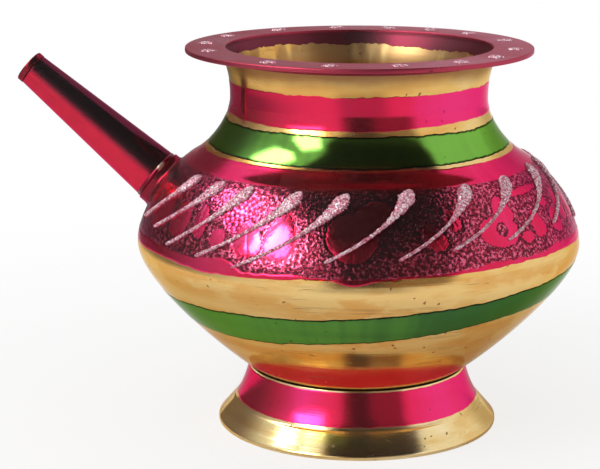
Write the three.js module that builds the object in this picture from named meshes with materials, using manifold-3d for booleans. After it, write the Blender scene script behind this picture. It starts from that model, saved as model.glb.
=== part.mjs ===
// Karwa: a small spouted water pot of turned brass on a flared foot, with a flat rim, coloured bands and
// raised strokes of glitter paste. Millimetres, +Z up. The pot stands on z = 0 and its spout points along -X.
// The origin is the middle of the whole pot's box, so the pot's own axis stands at +X of it.
import * as THREE from "three";
import { mergeVertices } from "three/addons/utils/BufferGeometryUtils.js";
import Module from "manifold-3d";

// Belly and shoulder. Each height is a step up from the line below it.
const BELLY_RADIUS = 62.5;
const BELLY_RISE = 35.8; // from the bowl's joint with the foot to the belly's widest line
const BELLY_FULLNESS_BELOW = 8.2; // how far the belly's curve runs upright below its widest line
const BELLY_FULLNESS_ABOVE = 7.3;
const BODY_WALL = 1.2;
const SHOULDER_RADIUS = 47.3; // where the shoulder turns from bulging out to curving in
const SHOULDER_RISE = 24;
const SHOULDER_SLOPE = THREE.MathUtils.degToRad(150.4); // the outline's direction there, from +r
const SHOULDER_EASE_BELOW = 8.3;
const SHOULDER_EASE_ABOVE = 7.2;

// Neck
const WAIST_RADIUS = 36;
const WAIST_RISE = 16.7;
const WAIST_EASE = 5.4; // how far the waist runs upright on each side
const NECK_TOP_SLOPE = THREE.MathUtils.degToRad(72);
const NECK_TOP_EASE = 5;

// Rim
const RIM_RISE = 13.9; // from the waist to the rim's top face
const RIM_THICKNESS = 1.3;
const MOUTH_RADIUS = 37.2;
const RIM_WIDTH = 11.2; // from the mouth to the rim's edge
const RIM_EDGE_BREAK = 0.25;
const RIM_BRAZE_LEG = 2; // how far the braze reaches along the rim and down the neck

// Bowl below the belly
const JOINT_RADIUS = 31; // where the bowl meets the foot's top edge
const JOINT_HEIGHT = 17.2;
const BOWL_SLOPE = THREE.MathUtils.degToRad(36.2); // the bowl's rise at that joint
const BOWL_EASE = 14.8;
const BOWL_BOTTOM_HEIGHT = 7; // underside of the closed bottom, above the table
const BOWL_BOTTOM_FLATNESS = 17; // how far the bottom stays level around the axis

// Lap seam, where the shell drops over a tongue turned on the bowl's edge
const SEAM_RISE = 2.2; // above the belly's widest line
const TONGUE_HEIGHT = 4;
const TONGUE_WALL = 1;
const TONGUE_ROOT = 1; // below the seam, where the tongue grows out of the wall
const TONGUE_TAPER = 3;

// Foot
const FOOT_RADIUS = 39.9;
const FOOT_EDGE_HEIGHT = 1; // upright edge at the table
const FOOT_RIDGE_INSET = 4.5;
const FOOT_RIDGE_HEIGHT = 6.2;
const FOOT_RIDGE_STEP = 0.35;
const FOOT_WALL = 1.3;
const FOOT_SEAT_WIDTH = 2.2; // flat bottom edge that stands on the table
const FOOT_FLARE_BELOW = THREE.MathUtils.degToRad(125); // the flare's direction at the ridge
const FOOT_FLARE_ABOVE = THREE.MathUtils.degToRad(103); // and at its top
const FOOT_FLARE_EASE = 3.5;
const FOOT_BRAZE_LEG = 2;

// Spout
const SPOUT_RISE = THREE.MathUtils.degToRad(39.5);
const SPOUT_ROOT_DROP = 9.5; // where its axis leaves the shoulder, below the shoulder's turn
const SPOUT_LENGTH = 50.8; // from that point to the mouth
const SPOUT_BASE_RADIUS = 7.6;
const SPOUT_MOUTH_RADIUS = 4.6;
const SPOUT_WALL = 0.9;
const COLLAR_LENGTH = 2; // from the shoulder to the collar's outer face
const COLLAR_PROUD = 0.5; // over the spout's base
const COLLAR_STOCK = 7; // length behind the root point, coped away to the shoulder
const SOLDER_WIDTH = 0.9;
const SOLDER_PROUD = 0.2;
const MOUTH_RING_LENGTH = 2;
const MOUTH_RING_PROUD = 0.25;

// Glitter paste
const STROKE_HEAD_DROP = 1.5; // below the shoulder's turn
const STROKE_HEAD_WIDTH = 4.4;
const STROKE_TAIL_WIDTH = 1.2;
const STROKE_HEAD_RISE = 0.75;
const STROKE_TAIL_RISE = 0.4;
const STROKE_CURL = 0.35; // share of the sweep that comes late, as the stroke flattens out
const STROKE_STATIONS = 8;
const DAB_INSET = 5.2; // from the rim's edge to a dab's middle
const DAB_RADIUS = 1.9;
const DAB_RISE = 0.5;
const DAB_PETALS = 5;

// Fits and fineness
const GAP = 0.3; // solder gap between two curved pieces
const PASTE_GAP = 0.2;
const TURNS = 56; // facets round the pot
const SPOUT_TURNS = 24;

// Strokes as they were squeezed on by hand: azimuth of the head, sweep back to the tail, and how far down the
// tail comes as a share of the way to the seam. Azimuth is in degrees about the pot's axis, from -Y to +X,
// and the spout stands at -90.
const STROKES = [
  { head: -51, sweep: 20, drop: 0.69 },
  { head: -37, sweep: 21, drop: 0.71 },
  { head: -27, sweep: 21, drop: 0.84 },
  { head: -9, sweep: 25, drop: 0.82 },
  { head: 5, sweep: 27, drop: 0.86 },
  { head: 24, sweep: 23.5, drop: 0.75 },
  { head: 43, sweep: 25, drop: 0.74 },
  { head: 61, sweep: 26, drop: 0.64 },
  { head: 83, sweep: 30, drop: 0.62 },
  { head: 99, sweep: 27, drop: 0.64 },
  { head: 117, sweep: 24, drop: 0.74 },
  { head: 135, sweep: 26, drop: 0.79 },
  { head: 152, sweep: 23, drop: 0.71 },
  { head: 170, sweep: 25, drop: 0.79 },
  { head: 188, sweep: 24, drop: 0.74 },
  { head: 206, sweep: 26, drop: 0.81 },
  { head: 223, sweep: 23, drop: 0.71 },
  { head: 241, sweep: 25, drop: 0.76 },
];

// Dabs on the rim, by azimuth, as they were set on by hand
const DABS = [-163, -138, -110, -87, -64, -25, -2, 22, 46, 65, 88, 115, 140, 158, 176];

const BRASS = { color: 0xd9a441, roughness: 0.24, metalness: 1 };
const RIM_LACQUER = { color: 0xb05a78, roughness: 0.35, metalness: 0.7 };
const SPOUT_LACQUER = { color: 0xa81436, roughness: 0.2, metalness: 0.7 };
const SOLDER = { color: 0xc9b8a6, roughness: 0.45, metalness: 1 };
const GLITTER = { color: 0xe2b4bd, roughness: 0.7, metalness: 0.4 };

const wasm = await Module();
wasm.setup();

// Outlines are points (r, z) in the plane of the pot's axis.
const at = (r, z) => new THREE.Vector2(r, z);
const towards = (point, angle, length) =>
  at(point.x + length * Math.cos(angle), point.y + length * Math.sin(angle));

// A curve that leaves one point at an angle and comes into the next at another, held to each by its ease
function bend(start, leaving, [easeOut, easeIn], arriving, end, steps) {
  const first = towards(start, leaving, easeOut);
  const second = towards(end, arriving, -easeIn);
  return new THREE.CubicBezierCurve(start, first, second, end).getPoints(steps);
}

const BOTTOM = at(0, BOWL_BOTTOM_HEIGHT);
const JOINT = at(JOINT_RADIUS, JOINT_HEIGHT);
const BELLY = at(BELLY_RADIUS, JOINT.y + BELLY_RISE);
const SHOULDER = at(SHOULDER_RADIUS, BELLY.y + SHOULDER_RISE);
const WAIST = at(WAIST_RADIUS, SHOULDER.y + WAIST_RISE);
const RIM_TOP_HEIGHT = WAIST.y + RIM_RISE;
const RIM_UNDERSIDE = RIM_TOP_HEIGHT - RIM_THICKNESS;
const RIM_RADIUS = MOUTH_RADIUS + RIM_WIDTH;
const SEAM_HEIGHT = BELLY.y + SEAM_RISE;
const NECK_TOP = at(MOUTH_RADIUS + BODY_WALL, RIM_UNDERSIDE);
const LEVEL = 0;
const UP = Math.PI / 2;

// The outside of the pot from the middle of its bottom to the top of the neck and a little on, as one run.
function bodyOutline(steps) {
  const runs = [
    bend(BOTTOM, LEVEL, [BOWL_BOTTOM_FLATNESS, BOWL_BOTTOM_FLATNESS / 2], BOWL_SLOPE, JOINT, steps),
    bend(JOINT, BOWL_SLOPE, [BOWL_EASE, BELLY_FULLNESS_BELOW], UP, BELLY, steps),
    bend(BELLY, UP, [BELLY_FULLNESS_ABOVE, SHOULDER_EASE_BELOW], SHOULDER_SLOPE, SHOULDER, steps),
    bend(SHOULDER, SHOULDER_SLOPE, [SHOULDER_EASE_ABOVE, WAIST_EASE], UP, WAIST, steps),
    bend(WAIST, UP, [WAIST_EASE, NECK_TOP_EASE], NECK_TOP_SLOPE, NECK_TOP, steps),
  ];
  // The run-on past the neck's top lets an inset outline still reach the rim.
  const runOn = towards(NECK_TOP, NECK_TOP_SLOPE, 2 * BODY_WALL);
  return [...runs.flatMap((run, i) => (i ? run.slice(1) : run)), runOn];
}

// The same outline moved inwards by a depth, each point along its own normal.
function inset(points, depth) {
  return points.map((point, i) => {
    const before = points[Math.max(i - 1, 0)];
    const after = points[Math.min(i + 1, points.length - 1)];
    const along = after.clone().sub(before).normalize();
    return at(Math.max(point.x - depth * along.y, 0), point.y + depth * along.x);
  });
}

// The part of an outline between two heights, with a point exactly on each of them.
function between(points, low, high) {
  const cut = (height) => {
    const i = points.findIndex((p, k) => k + 1 < points.length && p.y <= height && points[k + 1].y > height);
    const share = (height - points[i].y) / (points[i + 1].y - points[i].y);
    return points[i].clone().lerp(points[i + 1], share).setY(height);
  };
  const inside = points.filter((p) => p.y > low + GAP && p.y < high - GAP);
  return [cut(low), ...inside, cut(high)];
}

const BODY_STEPS = 6;
const OUTSIDE = bodyOutline(BODY_STEPS);
const FINE_OUTSIDE = bodyOutline(40);

// A closed outline turned round the pot's axis. Its points run anticlockwise, with r to the right and z up.
function turned(points, turns = TURNS) {
  const outline = points.concat(points[0].x === 0 && points.at(-1).x === 0 ? [] : [points[0]]);
  const lathe = new THREE.LatheGeometry(outline, turns);
  // The lathe turns about Y, so Y becomes Z by an exact swap of axes.
  const stand = new THREE.Matrix4().set(1, 0, 0, 0, 0, 0, -1, 0, 0, 1, 0, 0, 0, 0, 0, 1);
  return lathe.applyMatrix4(stand);
}

function solidOf(geometry) {
  const bare = geometry.clone();
  bare.deleteAttribute("normal");
  bare.deleteAttribute("uv");
  const merged = mergeVertices(bare, 1e-4);
  const vertProperties = merged.getAttribute("position").array;
  const triVerts = new Uint32Array(merged.index.array);
  return new wasm.Manifold(new wasm.Mesh({ numProp: 3, vertProperties, triVerts }));
}

function geometryOf(solid) {
  const mesh = solid.getMesh();
  const geometry = new THREE.BufferGeometry();
  geometry.setAttribute("position", new THREE.BufferAttribute(mesh.vertProperties, 3));
  geometry.setIndex(new THREE.BufferAttribute(mesh.triVerts, 1));
  geometry.computeVertexNormals();
  return geometry;
}

function piece(name, geometry, finish) {
  const mesh = new THREE.Mesh(geometry, new THREE.MeshStandardMaterial(finish));
  mesh.name = name;
  return mesh;
}

// Lower bowl: closed bottom, belly wall, and a tongue set inwards for the shell to drop over
function lowerBowl() {
  const outer = OUTSIDE.filter((p) => p.y < SEAM_HEIGHT - GAP);
  const seam = between(FINE_OUTSIDE, BELLY.y, SEAM_HEIGHT).at(-1);
  const tongueDepth = BODY_WALL + GAP;
  const tongueTop = SEAM_HEIGHT + TONGUE_HEIGHT;
  const tongueOuter = between(inset(FINE_OUTSIDE, tongueDepth), SEAM_HEIGHT, tongueTop);
  const tongueFoot = SEAM_HEIGHT - TONGUE_ROOT;
  const tongueInner = between(inset(FINE_OUTSIDE, tongueDepth + TONGUE_WALL), tongueFoot, tongueTop);
  const taperEnd = tongueFoot - TONGUE_TAPER;
  const inner = inset(OUTSIDE, BODY_WALL).filter((p) => p.y < taperEnd);
  const ends = (run) => [run[0], run.at(-1)];
  return turned([...outer, seam, ...ends(tongueOuter), ...ends(tongueInner).reverse(), ...inner.reverse()]);
}

// Upper shell: shoulder and neck, open at both ends, with the hole for the spout bored through its wall
function upperShell() {
  const outer = between(OUTSIDE, SEAM_HEIGHT, RIM_UNDERSIDE);
  const inner = between(inset(OUTSIDE, BODY_WALL), SEAM_HEIGHT, RIM_UNDERSIDE);
  const shell = solidOf(turned([...outer, ...inner.reverse()]));
  return geometryOf(shell.subtract(solidOf(spoutDrill())));
}

function rimRing() {
  const edge = RIM_RADIUS - RIM_EDGE_BREAK;
  return turned([
    at(MOUTH_RADIUS, RIM_UNDERSIDE),
    at(edge, RIM_UNDERSIDE),
    at(RIM_RADIUS, RIM_UNDERSIDE + RIM_EDGE_BREAK),
    at(RIM_RADIUS, RIM_TOP_HEIGHT - RIM_EDGE_BREAK),
    at(edge, RIM_TOP_HEIGHT),
    at(MOUTH_RADIUS, RIM_TOP_HEIGHT),
  ]);
}

// The hollow curve of braze between the neck and the rim's underside
function rimBraze() {
  const low = RIM_UNDERSIDE - RIM_BRAZE_LEG;
  const neck = between(inset(FINE_OUTSIDE, -GAP), low, RIM_UNDERSIDE);
  const foot = neck[0];
  const heel = at(neck.at(-1).x, RIM_UNDERSIDE);
  const toe = at(heel.x + RIM_BRAZE_LEG, RIM_UNDERSIDE);
  const hollow = at(heel.x + GAP, RIM_UNDERSIDE - GAP);
  const face = new THREE.QuadraticBezierCurve(at(foot.x + GAP, low), hollow, toe);
  return turned([foot, ...face.getPoints(4), heel]);
}

// The height of the bowl's underside at a radius, less a gap
function underBowl(radius, gap) {
  const under = inset(FINE_OUTSIDE, -gap);
  return under[under.findIndex((p) => p.x >= radius) - 1].y;
}

// Foot: a hollow flared ring with an upright edge, a plain skirt, a ridge line and a concave flare. Its top
// edge is coned to follow the bowl's underside.
function footRing() {
  const top = at(JOINT_RADIUS, underBowl(JOINT_RADIUS, GAP));
  const topInside = at(JOINT_RADIUS - FOOT_WALL, underBowl(JOINT_RADIUS - FOOT_WALL, GAP));
  const ridge = at(FOOT_RADIUS - FOOT_RIDGE_INSET, FOOT_RIDGE_HEIGHT);
  const groove = at(ridge.x - FOOT_RIDGE_STEP, ridge.y + FOOT_RIDGE_STEP);
  const flare = bend(groove, FOOT_FLARE_BELOW, [FOOT_FLARE_EASE, FOOT_FLARE_EASE], FOOT_FLARE_ABOVE, top, 5);
  const outer = [at(FOOT_RADIUS, 0), at(FOOT_RADIUS, FOOT_EDGE_HEIGHT), ridge, ...flare];
  const inner = inset(outer.slice(1), FOOT_WALL).slice(1, -1);
  return turned([...outer, topInside, ...inner.reverse(), at(FOOT_RADIUS - FOOT_SEAT_WIDTH, 0)]);
}

// Braze inside the foot's top edge: a ring wedged between the bowl's underside and the foot's inner wall
function footBraze() {
  const most = JOINT_RADIUS - FOOT_WALL - GAP;
  const under = inset(FINE_OUTSIDE, -GAP).filter((p) => p.x > most - FOOT_BRAZE_LEG && p.x < most);
  const lip = under.at(-1);
  const heel = under[0];
  return turned([at(lip.x, lip.y - FOOT_BRAZE_LEG), lip, heel]);
}

// The spout's pieces are turned about +Z from the root point and then leaned over towards -X.
const SPOUT_ROOT = between(FINE_OUTSIDE, BELLY.y, SHOULDER.y - SPOUT_ROOT_DROP).at(-1);
const SPOUT_LEAN = new THREE.Matrix4()
  .makeTranslation(-SPOUT_ROOT.x, 0, SPOUT_ROOT.y)
  .multiply(new THREE.Matrix4().makeRotationY(SPOUT_RISE - UP));
const TUBE_START = COLLAR_LENGTH + SOLDER_WIDTH + GAP;
const TUBE_END = SPOUT_LENGTH - MOUTH_RING_LENGTH;
const TAPER = (SPOUT_BASE_RADIUS - SPOUT_MOUTH_RADIUS) / (SPOUT_LENGTH - COLLAR_LENGTH);
const spoutRadius = (along) => SPOUT_BASE_RADIUS - TAPER * (along - COLLAR_LENGTH);
const boreRadius = (along) => spoutRadius(along) - SPOUT_WALL;

function spoutPiece(points) {
  return turned(points, SPOUT_TURNS).applyMatrix4(SPOUT_LEAN);
}

function spoutDrill() {
  const radius = boreRadius(COLLAR_LENGTH);
  const reach = 2 * COLLAR_STOCK;
  return spoutPiece([at(0, -reach), at(radius, -reach), at(radius, reach), at(0, reach)]);
}

function spoutTube() {
  return spoutPiece([
    at(boreRadius(TUBE_START), TUBE_START),
    at(spoutRadius(TUBE_START), TUBE_START),
    at(spoutRadius(TUBE_END), TUBE_END),
    at(boreRadius(TUBE_END), TUBE_END),
  ]);
}

// Root collar: a short thick ring, coped so that it sits a solder gap off the shoulder
function spoutRootCollar() {
  const bore = boreRadius(COLLAR_LENGTH);
  const stock = spoutPiece([
    at(bore, -COLLAR_STOCK),
    at(SPOUT_BASE_RADIUS + COLLAR_PROUD, -COLLAR_STOCK),
    at(SPOUT_BASE_RADIUS + COLLAR_PROUD, COLLAR_LENGTH),
    at(bore, COLLAR_LENGTH),
  ]);
  const skin = inset(OUTSIDE, -GAP);
  const shoulder = between(skin, BELLY.y, WAIST.y);
  const core = turned([at(0, shoulder[0].y), ...shoulder, at(0, shoulder.at(-1).y)]);
  return geometryOf(solidOf(stock).subtract(solidOf(core)));
}

function spoutSolderRing() {
  const low = COLLAR_LENGTH + GAP / 2;
  const high = low + SOLDER_WIDTH;
  const bore = boreRadius(low);
  const outer = spoutRadius(low) + SOLDER_PROUD;
  return spoutPiece([at(bore, low), at(outer - SOLDER_PROUD, low), at(outer, (low + high) / 2),
    at(outer - SOLDER_PROUD, high), at(bore, high)]);
}

function spoutMouthRing() {
  const low = TUBE_END + GAP;
  const outer = SPOUT_MOUTH_RADIUS + MOUTH_RING_PROUD;
  const bore = boreRadius(SPOUT_LENGTH);
  return spoutPiece([
    at(bore, low),
    at(outer, low),
    at(outer, SPOUT_LENGTH - MOUTH_RING_PROUD),
    at(outer - MOUTH_RING_PROUD, SPOUT_LENGTH),
    at(bore, SPOUT_LENGTH),
  ]);
}

// A point on the shoulder at an azimuth and height, standing off the brass along its normal
function shoulderPoint(azimuth, height, off) {
  const i = FINE_OUTSIDE.findIndex((p) => p.y > height);
  const low = FINE_OUTSIDE[i - 1];
  const high = FINE_OUTSIDE[i];
  const share = (height - low.y) / (high.y - low.y);
  const along = high.clone().sub(low).normalize();
  const radius = low.x + share * (high.x - low.x) + off * along.y;
  return new THREE.Vector3(radius * Math.sin(azimuth), -radius * Math.cos(azimuth), height - off * along.x);
}

// A closed skin over rings of points, each with the same number, first and last ring capped
function skinOver(rings) {
  const sides = rings[0].length;
  const positions = rings.flat().flatMap((p) => [p.x, p.y, p.z]);
  const faces = [];
  for (let ring = 0; ring + 1 < rings.length; ring += 1) {
    for (let side = 0; side < sides; side += 1) {
      const next = (side + 1) % sides;
      const [a, b] = [ring * sides + side, ring * sides + next];
      const [c, d] = [a + sides, b + sides];
      faces.push(a, b, d, a, d, c);
    }
  }
  const last = (rings.length - 1) * sides;
  for (let side = 1; side + 1 < sides; side += 1) {
    faces.push(0, side + 1, side);
    faces.push(last, last + side, last + side + 1);
  }
  const geometry = new THREE.BufferGeometry();
  geometry.setAttribute("position", new THREE.Float32BufferAttribute(positions, 3));
  geometry.setIndex(faces);
  geometry.computeVertexNormals();
  return geometry;
}

// One stroke: a round head near the top of the shoulder that thins into a tail, swept down and back
function glitterStroke({ head, sweep, drop }) {
  const headHeight = SHOULDER.y - STROKE_HEAD_DROP;
  const pathAt = (t) => ({
    azimuth: THREE.MathUtils.degToRad(head - sweep * (t * (1 - STROKE_CURL) + t * t * STROKE_CURL)),
    height: headHeight - drop * (headHeight - SEAM_HEIGHT) * t,
  });
  const rings = [];
  for (let station = 0; station <= STROKE_STATIONS; station += 1) {
    const t = Math.pow(station / STROKE_STATIONS, 1.5); // closer together at the head
    const bulb = Math.sqrt(Math.min(1, 0.12 + t * 6)); // rounds off the head's end
    const thin = Math.pow(1 - t, 1.6);
    const width = bulb * (STROKE_TAIL_WIDTH + (STROKE_HEAD_WIDTH - STROKE_TAIL_WIDTH) * thin);
    const rise = bulb * (STROKE_TAIL_RISE + (STROKE_HEAD_RISE - STROKE_TAIL_RISE) * thin);
    const here = pathAt(t);
    const before = pathAt(Math.max(t - 0.02, 0));
    const after = pathAt(Math.min(t + 0.02, 1));
    const from = shoulderPoint(before.azimuth, before.height, 0);
    const to = shoulderPoint(after.azimuth, after.height, 0);
    const radius = Math.hypot(from.x, from.y);
    const turn = (after.azimuth - before.azimuth) * radius;
    const climb = to.clone().sub(from).length() * Math.sign(after.height - before.height);
    const upSlope = Math.sqrt(Math.max(climb * climb - turn * turn, 0)) * Math.sign(climb);
    const length = Math.hypot(turn, upSlope);
    // Across the stroke: the path's direction on the shoulder, turned a quarter
    const acrossTurn = -upSlope / length / radius;
    const acrossClimb = (turn / length) * Math.sin(Math.PI - SHOULDER_SLOPE + 0.1);
    const spot = (side, off) => {
      const across = side * width;
      const azimuth = here.azimuth + across * acrossTurn;
      return shoulderPoint(azimuth, here.height + across * acrossClimb, PASTE_GAP + off);
    };
    const flank = rise * 0.75;
    rings.push([spot(-0.5, 0), spot(0.5, 0), spot(0.32, flank), spot(0, rise), spot(-0.32, flank)]);
  }
  return skinOver(rings);
}

// One dab: a low five-lobed blob that stands flat on the rim
function glitterDab(degrees) {
  const azimuth = THREE.MathUtils.degToRad(degrees);
  const middle = RIM_RADIUS - DAB_INSET;
  const sides = 2 * DAB_PETALS;
  const ring = (share, height) =>
    Array.from({ length: sides }, (_, side) => {
      const lobe = share * DAB_RADIUS * (side % 2 ? 0.8 : 1);
      const angle = azimuth + (side * 2 * Math.PI) / sides;
      const x = middle * Math.sin(azimuth) + lobe * Math.cos(angle);
      const y = -middle * Math.cos(azimuth) + lobe * Math.sin(angle);
      return new THREE.Vector3(x, y, height);
    });
  return skinOver([
    ring(1, RIM_TOP_HEIGHT),
    ring(0.9, RIM_TOP_HEIGHT + 0.6 * DAB_RISE),
    ring(0.45, RIM_TOP_HEIGHT + DAB_RISE),
  ]);
}

const numbered = (stem, index) => stem + "_" + String(index + 1).padStart(2, "0");

const pot = new THREE.Group();
pot.add(
  piece("lower_bowl", lowerBowl(), BRASS),
  piece("upper_shell", upperShell(), BRASS),
  piece("rim_ring", rimRing(), RIM_LACQUER),
  piece("rim_braze", rimBraze(), SOLDER),
  piece("foot_ring", footRing(), BRASS),
  piece("foot_braze", footBraze(), SOLDER),
  piece("spout_tube", spoutTube(), SPOUT_LACQUER),
  piece("spout_root_collar", spoutRootCollar(), SPOUT_LACQUER),
  piece("spout_solder_ring", spoutSolderRing(), SOLDER),
  piece("spout_mouth_ring", spoutMouthRing(), SPOUT_LACQUER),
);
STROKES.forEach((stroke, i) => pot.add(piece(numbered("glitter_stroke", i), glitterStroke(stroke), GLITTER)));
DABS.forEach((degrees, i) => pot.add(piece(numbered("glitter_dab", i), glitterDab(degrees), GLITTER)));

// The spout's mouth reaches furthest at its lower corner. Half of what it reaches past the belly moves the
// pot's axis over, so that the origin is the middle of the box.
const mouthCorner = SPOUT_LENGTH * Math.cos(SPOUT_RISE) + SPOUT_MOUTH_RADIUS * Math.sin(SPOUT_RISE);
const mouthReach = SPOUT_ROOT.x + mouthCorner;
pot.position.x = (mouthReach - BELLY_RADIUS) / 2;

const group = new THREE.Group();
group.name = "karwa_pot";
group.add(pot);

export default group;
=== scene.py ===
"""Karwa: a small spouted pot of brass with painted bands, a chased shoulder and strokes of glitter paste.

The pieces are built in millimetres in the frame's own axes and stored in metres. Azimuths are about the pot's
axis, from -Y towards +X, so the spout stands at -90 degrees. Outlines are runs of points (r, z).
"""

import logging
import math
from dataclasses import dataclass
from enum import Enum
from functools import cached_property
from typing import Callable, Iterable, Sequence

import bpy
import numpy as np
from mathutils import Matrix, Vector


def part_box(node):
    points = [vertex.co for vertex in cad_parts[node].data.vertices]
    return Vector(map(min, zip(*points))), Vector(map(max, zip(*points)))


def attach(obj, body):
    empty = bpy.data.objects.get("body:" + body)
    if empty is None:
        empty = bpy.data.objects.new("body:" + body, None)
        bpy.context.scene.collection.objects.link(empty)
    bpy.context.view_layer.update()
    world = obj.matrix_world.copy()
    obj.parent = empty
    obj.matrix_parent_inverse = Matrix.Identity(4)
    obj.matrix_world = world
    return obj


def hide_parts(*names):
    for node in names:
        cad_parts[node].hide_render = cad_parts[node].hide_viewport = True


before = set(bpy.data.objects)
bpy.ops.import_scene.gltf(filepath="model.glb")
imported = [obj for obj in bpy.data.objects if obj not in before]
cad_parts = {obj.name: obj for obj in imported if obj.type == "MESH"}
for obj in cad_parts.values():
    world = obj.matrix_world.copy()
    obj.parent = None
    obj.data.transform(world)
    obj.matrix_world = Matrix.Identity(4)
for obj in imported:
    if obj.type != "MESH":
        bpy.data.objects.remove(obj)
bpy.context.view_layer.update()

LOG = logging.getLogger("karwa")
MM = 0.001
BODY = "root"
COAT = 0.08  # how far the brass lies under the outline, where the lacquer's face is
FILM = 0.1  # how far a film's back lies under its base
CURVE_STEPS = 120
CORNER_STEPS = 6
WHITE = (1.0, 1.0, 1.0)
FRONT = np.array([0.0, -1.0, 0.0])  # where azimuth 0 points

Array = np.ndarray
Colour = tuple[float, float, float]
Marks = dict[str, Array]
Piece = bpy.types.Object
Socket = bpy.types.NodeSocket


class Slot(Enum):
    """The record's material slots."""

    BRASS = "brass"
    BRAZE = "braze"
    SOLDER = "solder"
    PINK = "pink_lacquer"
    MAROON = "maroon_lacquer"
    GREEN = "green_lacquer"
    GLITTER = "glitter"


def smooth_step(value: Array, low: float, high: float) -> Array:
    """Rises smoothly from 0 to 1 as value goes from low to high."""
    share = np.clip((value - low) / (high - low), 0.0, 1.0)
    return share * share * (3.0 - 2.0 * share)


def mound(distance: Array, reach: float) -> Array:
    """Falls from 1 at distance 0 as a bell of this reach."""
    return np.exp(-((distance / reach) ** 2))


def dome(share: Array) -> Array:
    """Falls from 1 at share 0 to 0 at share 1 as a quarter circle."""
    return np.sqrt(np.clip(1.0 - share**2, 0.0, 1.0))


def all_round(count: int) -> Array:
    """Gives a column of angles in radians, right round."""
    return np.linspace(0.0, 2 * np.pi, count, endpoint=False)[:, None]


def rows_of(count: int) -> Array:
    """Gives a row of values from 0 to 1."""
    return np.linspace(0.0, 1.0, count)[None, :]


def direction(azimuth: Array, elevation: Array) -> Array:
    """Gives unit vectors by azimuth and elevation in degrees, with x, y, z as the last axis."""
    turn, up = np.broadcast_arrays(np.radians(azimuth), np.radians(elevation))
    return np.stack([np.sin(turn) * np.cos(up), -np.cos(turn) * np.cos(up), np.sin(up)], axis=-1)


def heading(degrees: float) -> Array:
    """Gives the unit vector (r, z) at an angle from +r."""
    return np.array([math.cos(math.radians(degrees)), math.sin(math.radians(degrees))])


def curve(start: Array, leaving: float, eases: tuple[float, float], arriving: float, end: Array) -> Array:
    """Draws a smooth curve that leaves one point at an angle and comes into the next at another.

    Args:
        start: first point, (r, z).
        leaving: direction at the first point, in degrees from +r.
        eases: how far the curve holds each of its two directions.
        arriving: direction at the last point.
        end: last point.

    Returns:
        Points along the curve, both ends among them.
    """
    t = np.linspace(0.0, 1.0, CURVE_STEPS + 1)[:, None]
    rest = 1.0 - t
    first, second = start + eases[0] * heading(leaving), end - eases[1] * heading(arriving)
    return rest**3 * start + 3 * rest**2 * t * first + 3 * rest * t**2 * second + t**3 * end


def bend(start: Array, corner: Array, end: Array, steps: int) -> Array:
    """Draws a curve from start to end that is pulled towards a corner."""
    t = np.linspace(0.0, 1.0, steps)[:, None]
    return (1 - t) ** 2 * start + 2 * t * (1 - t) * corner + t**2 * end


def rounded(corners: Sequence[Sequence[float]]) -> Array:
    """Rounds the corners of a closed outline.

    Args:
        corners: (r, z, radius) of each corner in order, or (r, z) where it is sharp.

    Returns:
        The outline's points, (r, z).
    """
    spots = [np.array(corner[:2], float) for corner in corners]
    points: list[Array] = []
    for i, (spot, corner) in enumerate(zip(spots, corners)):
        if len(corner) < 3:
            points.append(spot[None])
            continue
        ends = [spot + side / np.linalg.norm(side) * corner[2]
                for side in (spots[i - 1] - spot, spots[(i + 1) % len(spots)] - spot)]
        points.append(bend(ends[0], spot, ends[1], CORNER_STEPS))
    return np.concatenate(points)


def refined(points: Array, step: float) -> Array:
    """Adds points along the long sides of a closed outline, so that none is longer than step.

    Args:
        points: the outline, (r, z).
        step: greatest length of a side.

    Returns:
        The outline with the points added.
    """
    filled: list[Array] = []
    for here, there in zip(points, np.roll(points, -1, axis=0)):
        count = max(1, math.ceil(np.linalg.norm(there - here) / step))
        filled.extend(here + (there - here) * k / count for k in range(count))
    return np.array(filled)


def keep(mesh: bpy.types.Mesh, marks: Marks) -> None:
    """Keeps values at a mesh's vertices, by name, for its finish to read.

    Args:
        mesh: the mesh.
        marks: one value for each vertex, by name.
    """
    for name, values in marks.items():
        layer = mesh.attributes.new(name, "FLOAT", "POINT")
        layer.data.foreach_set("value", np.asarray(values, np.float32).ravel())


def placed(name: str, data: object) -> Piece:
    """Puts an object with this data in the scene.

    Args:
        name: the object's name.
        data: its mesh, light or camera.

    Returns:
        The object.
    """
    piece = bpy.data.objects.new(name, data)
    bpy.context.scene.collection.objects.link(piece)
    return piece


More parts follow.
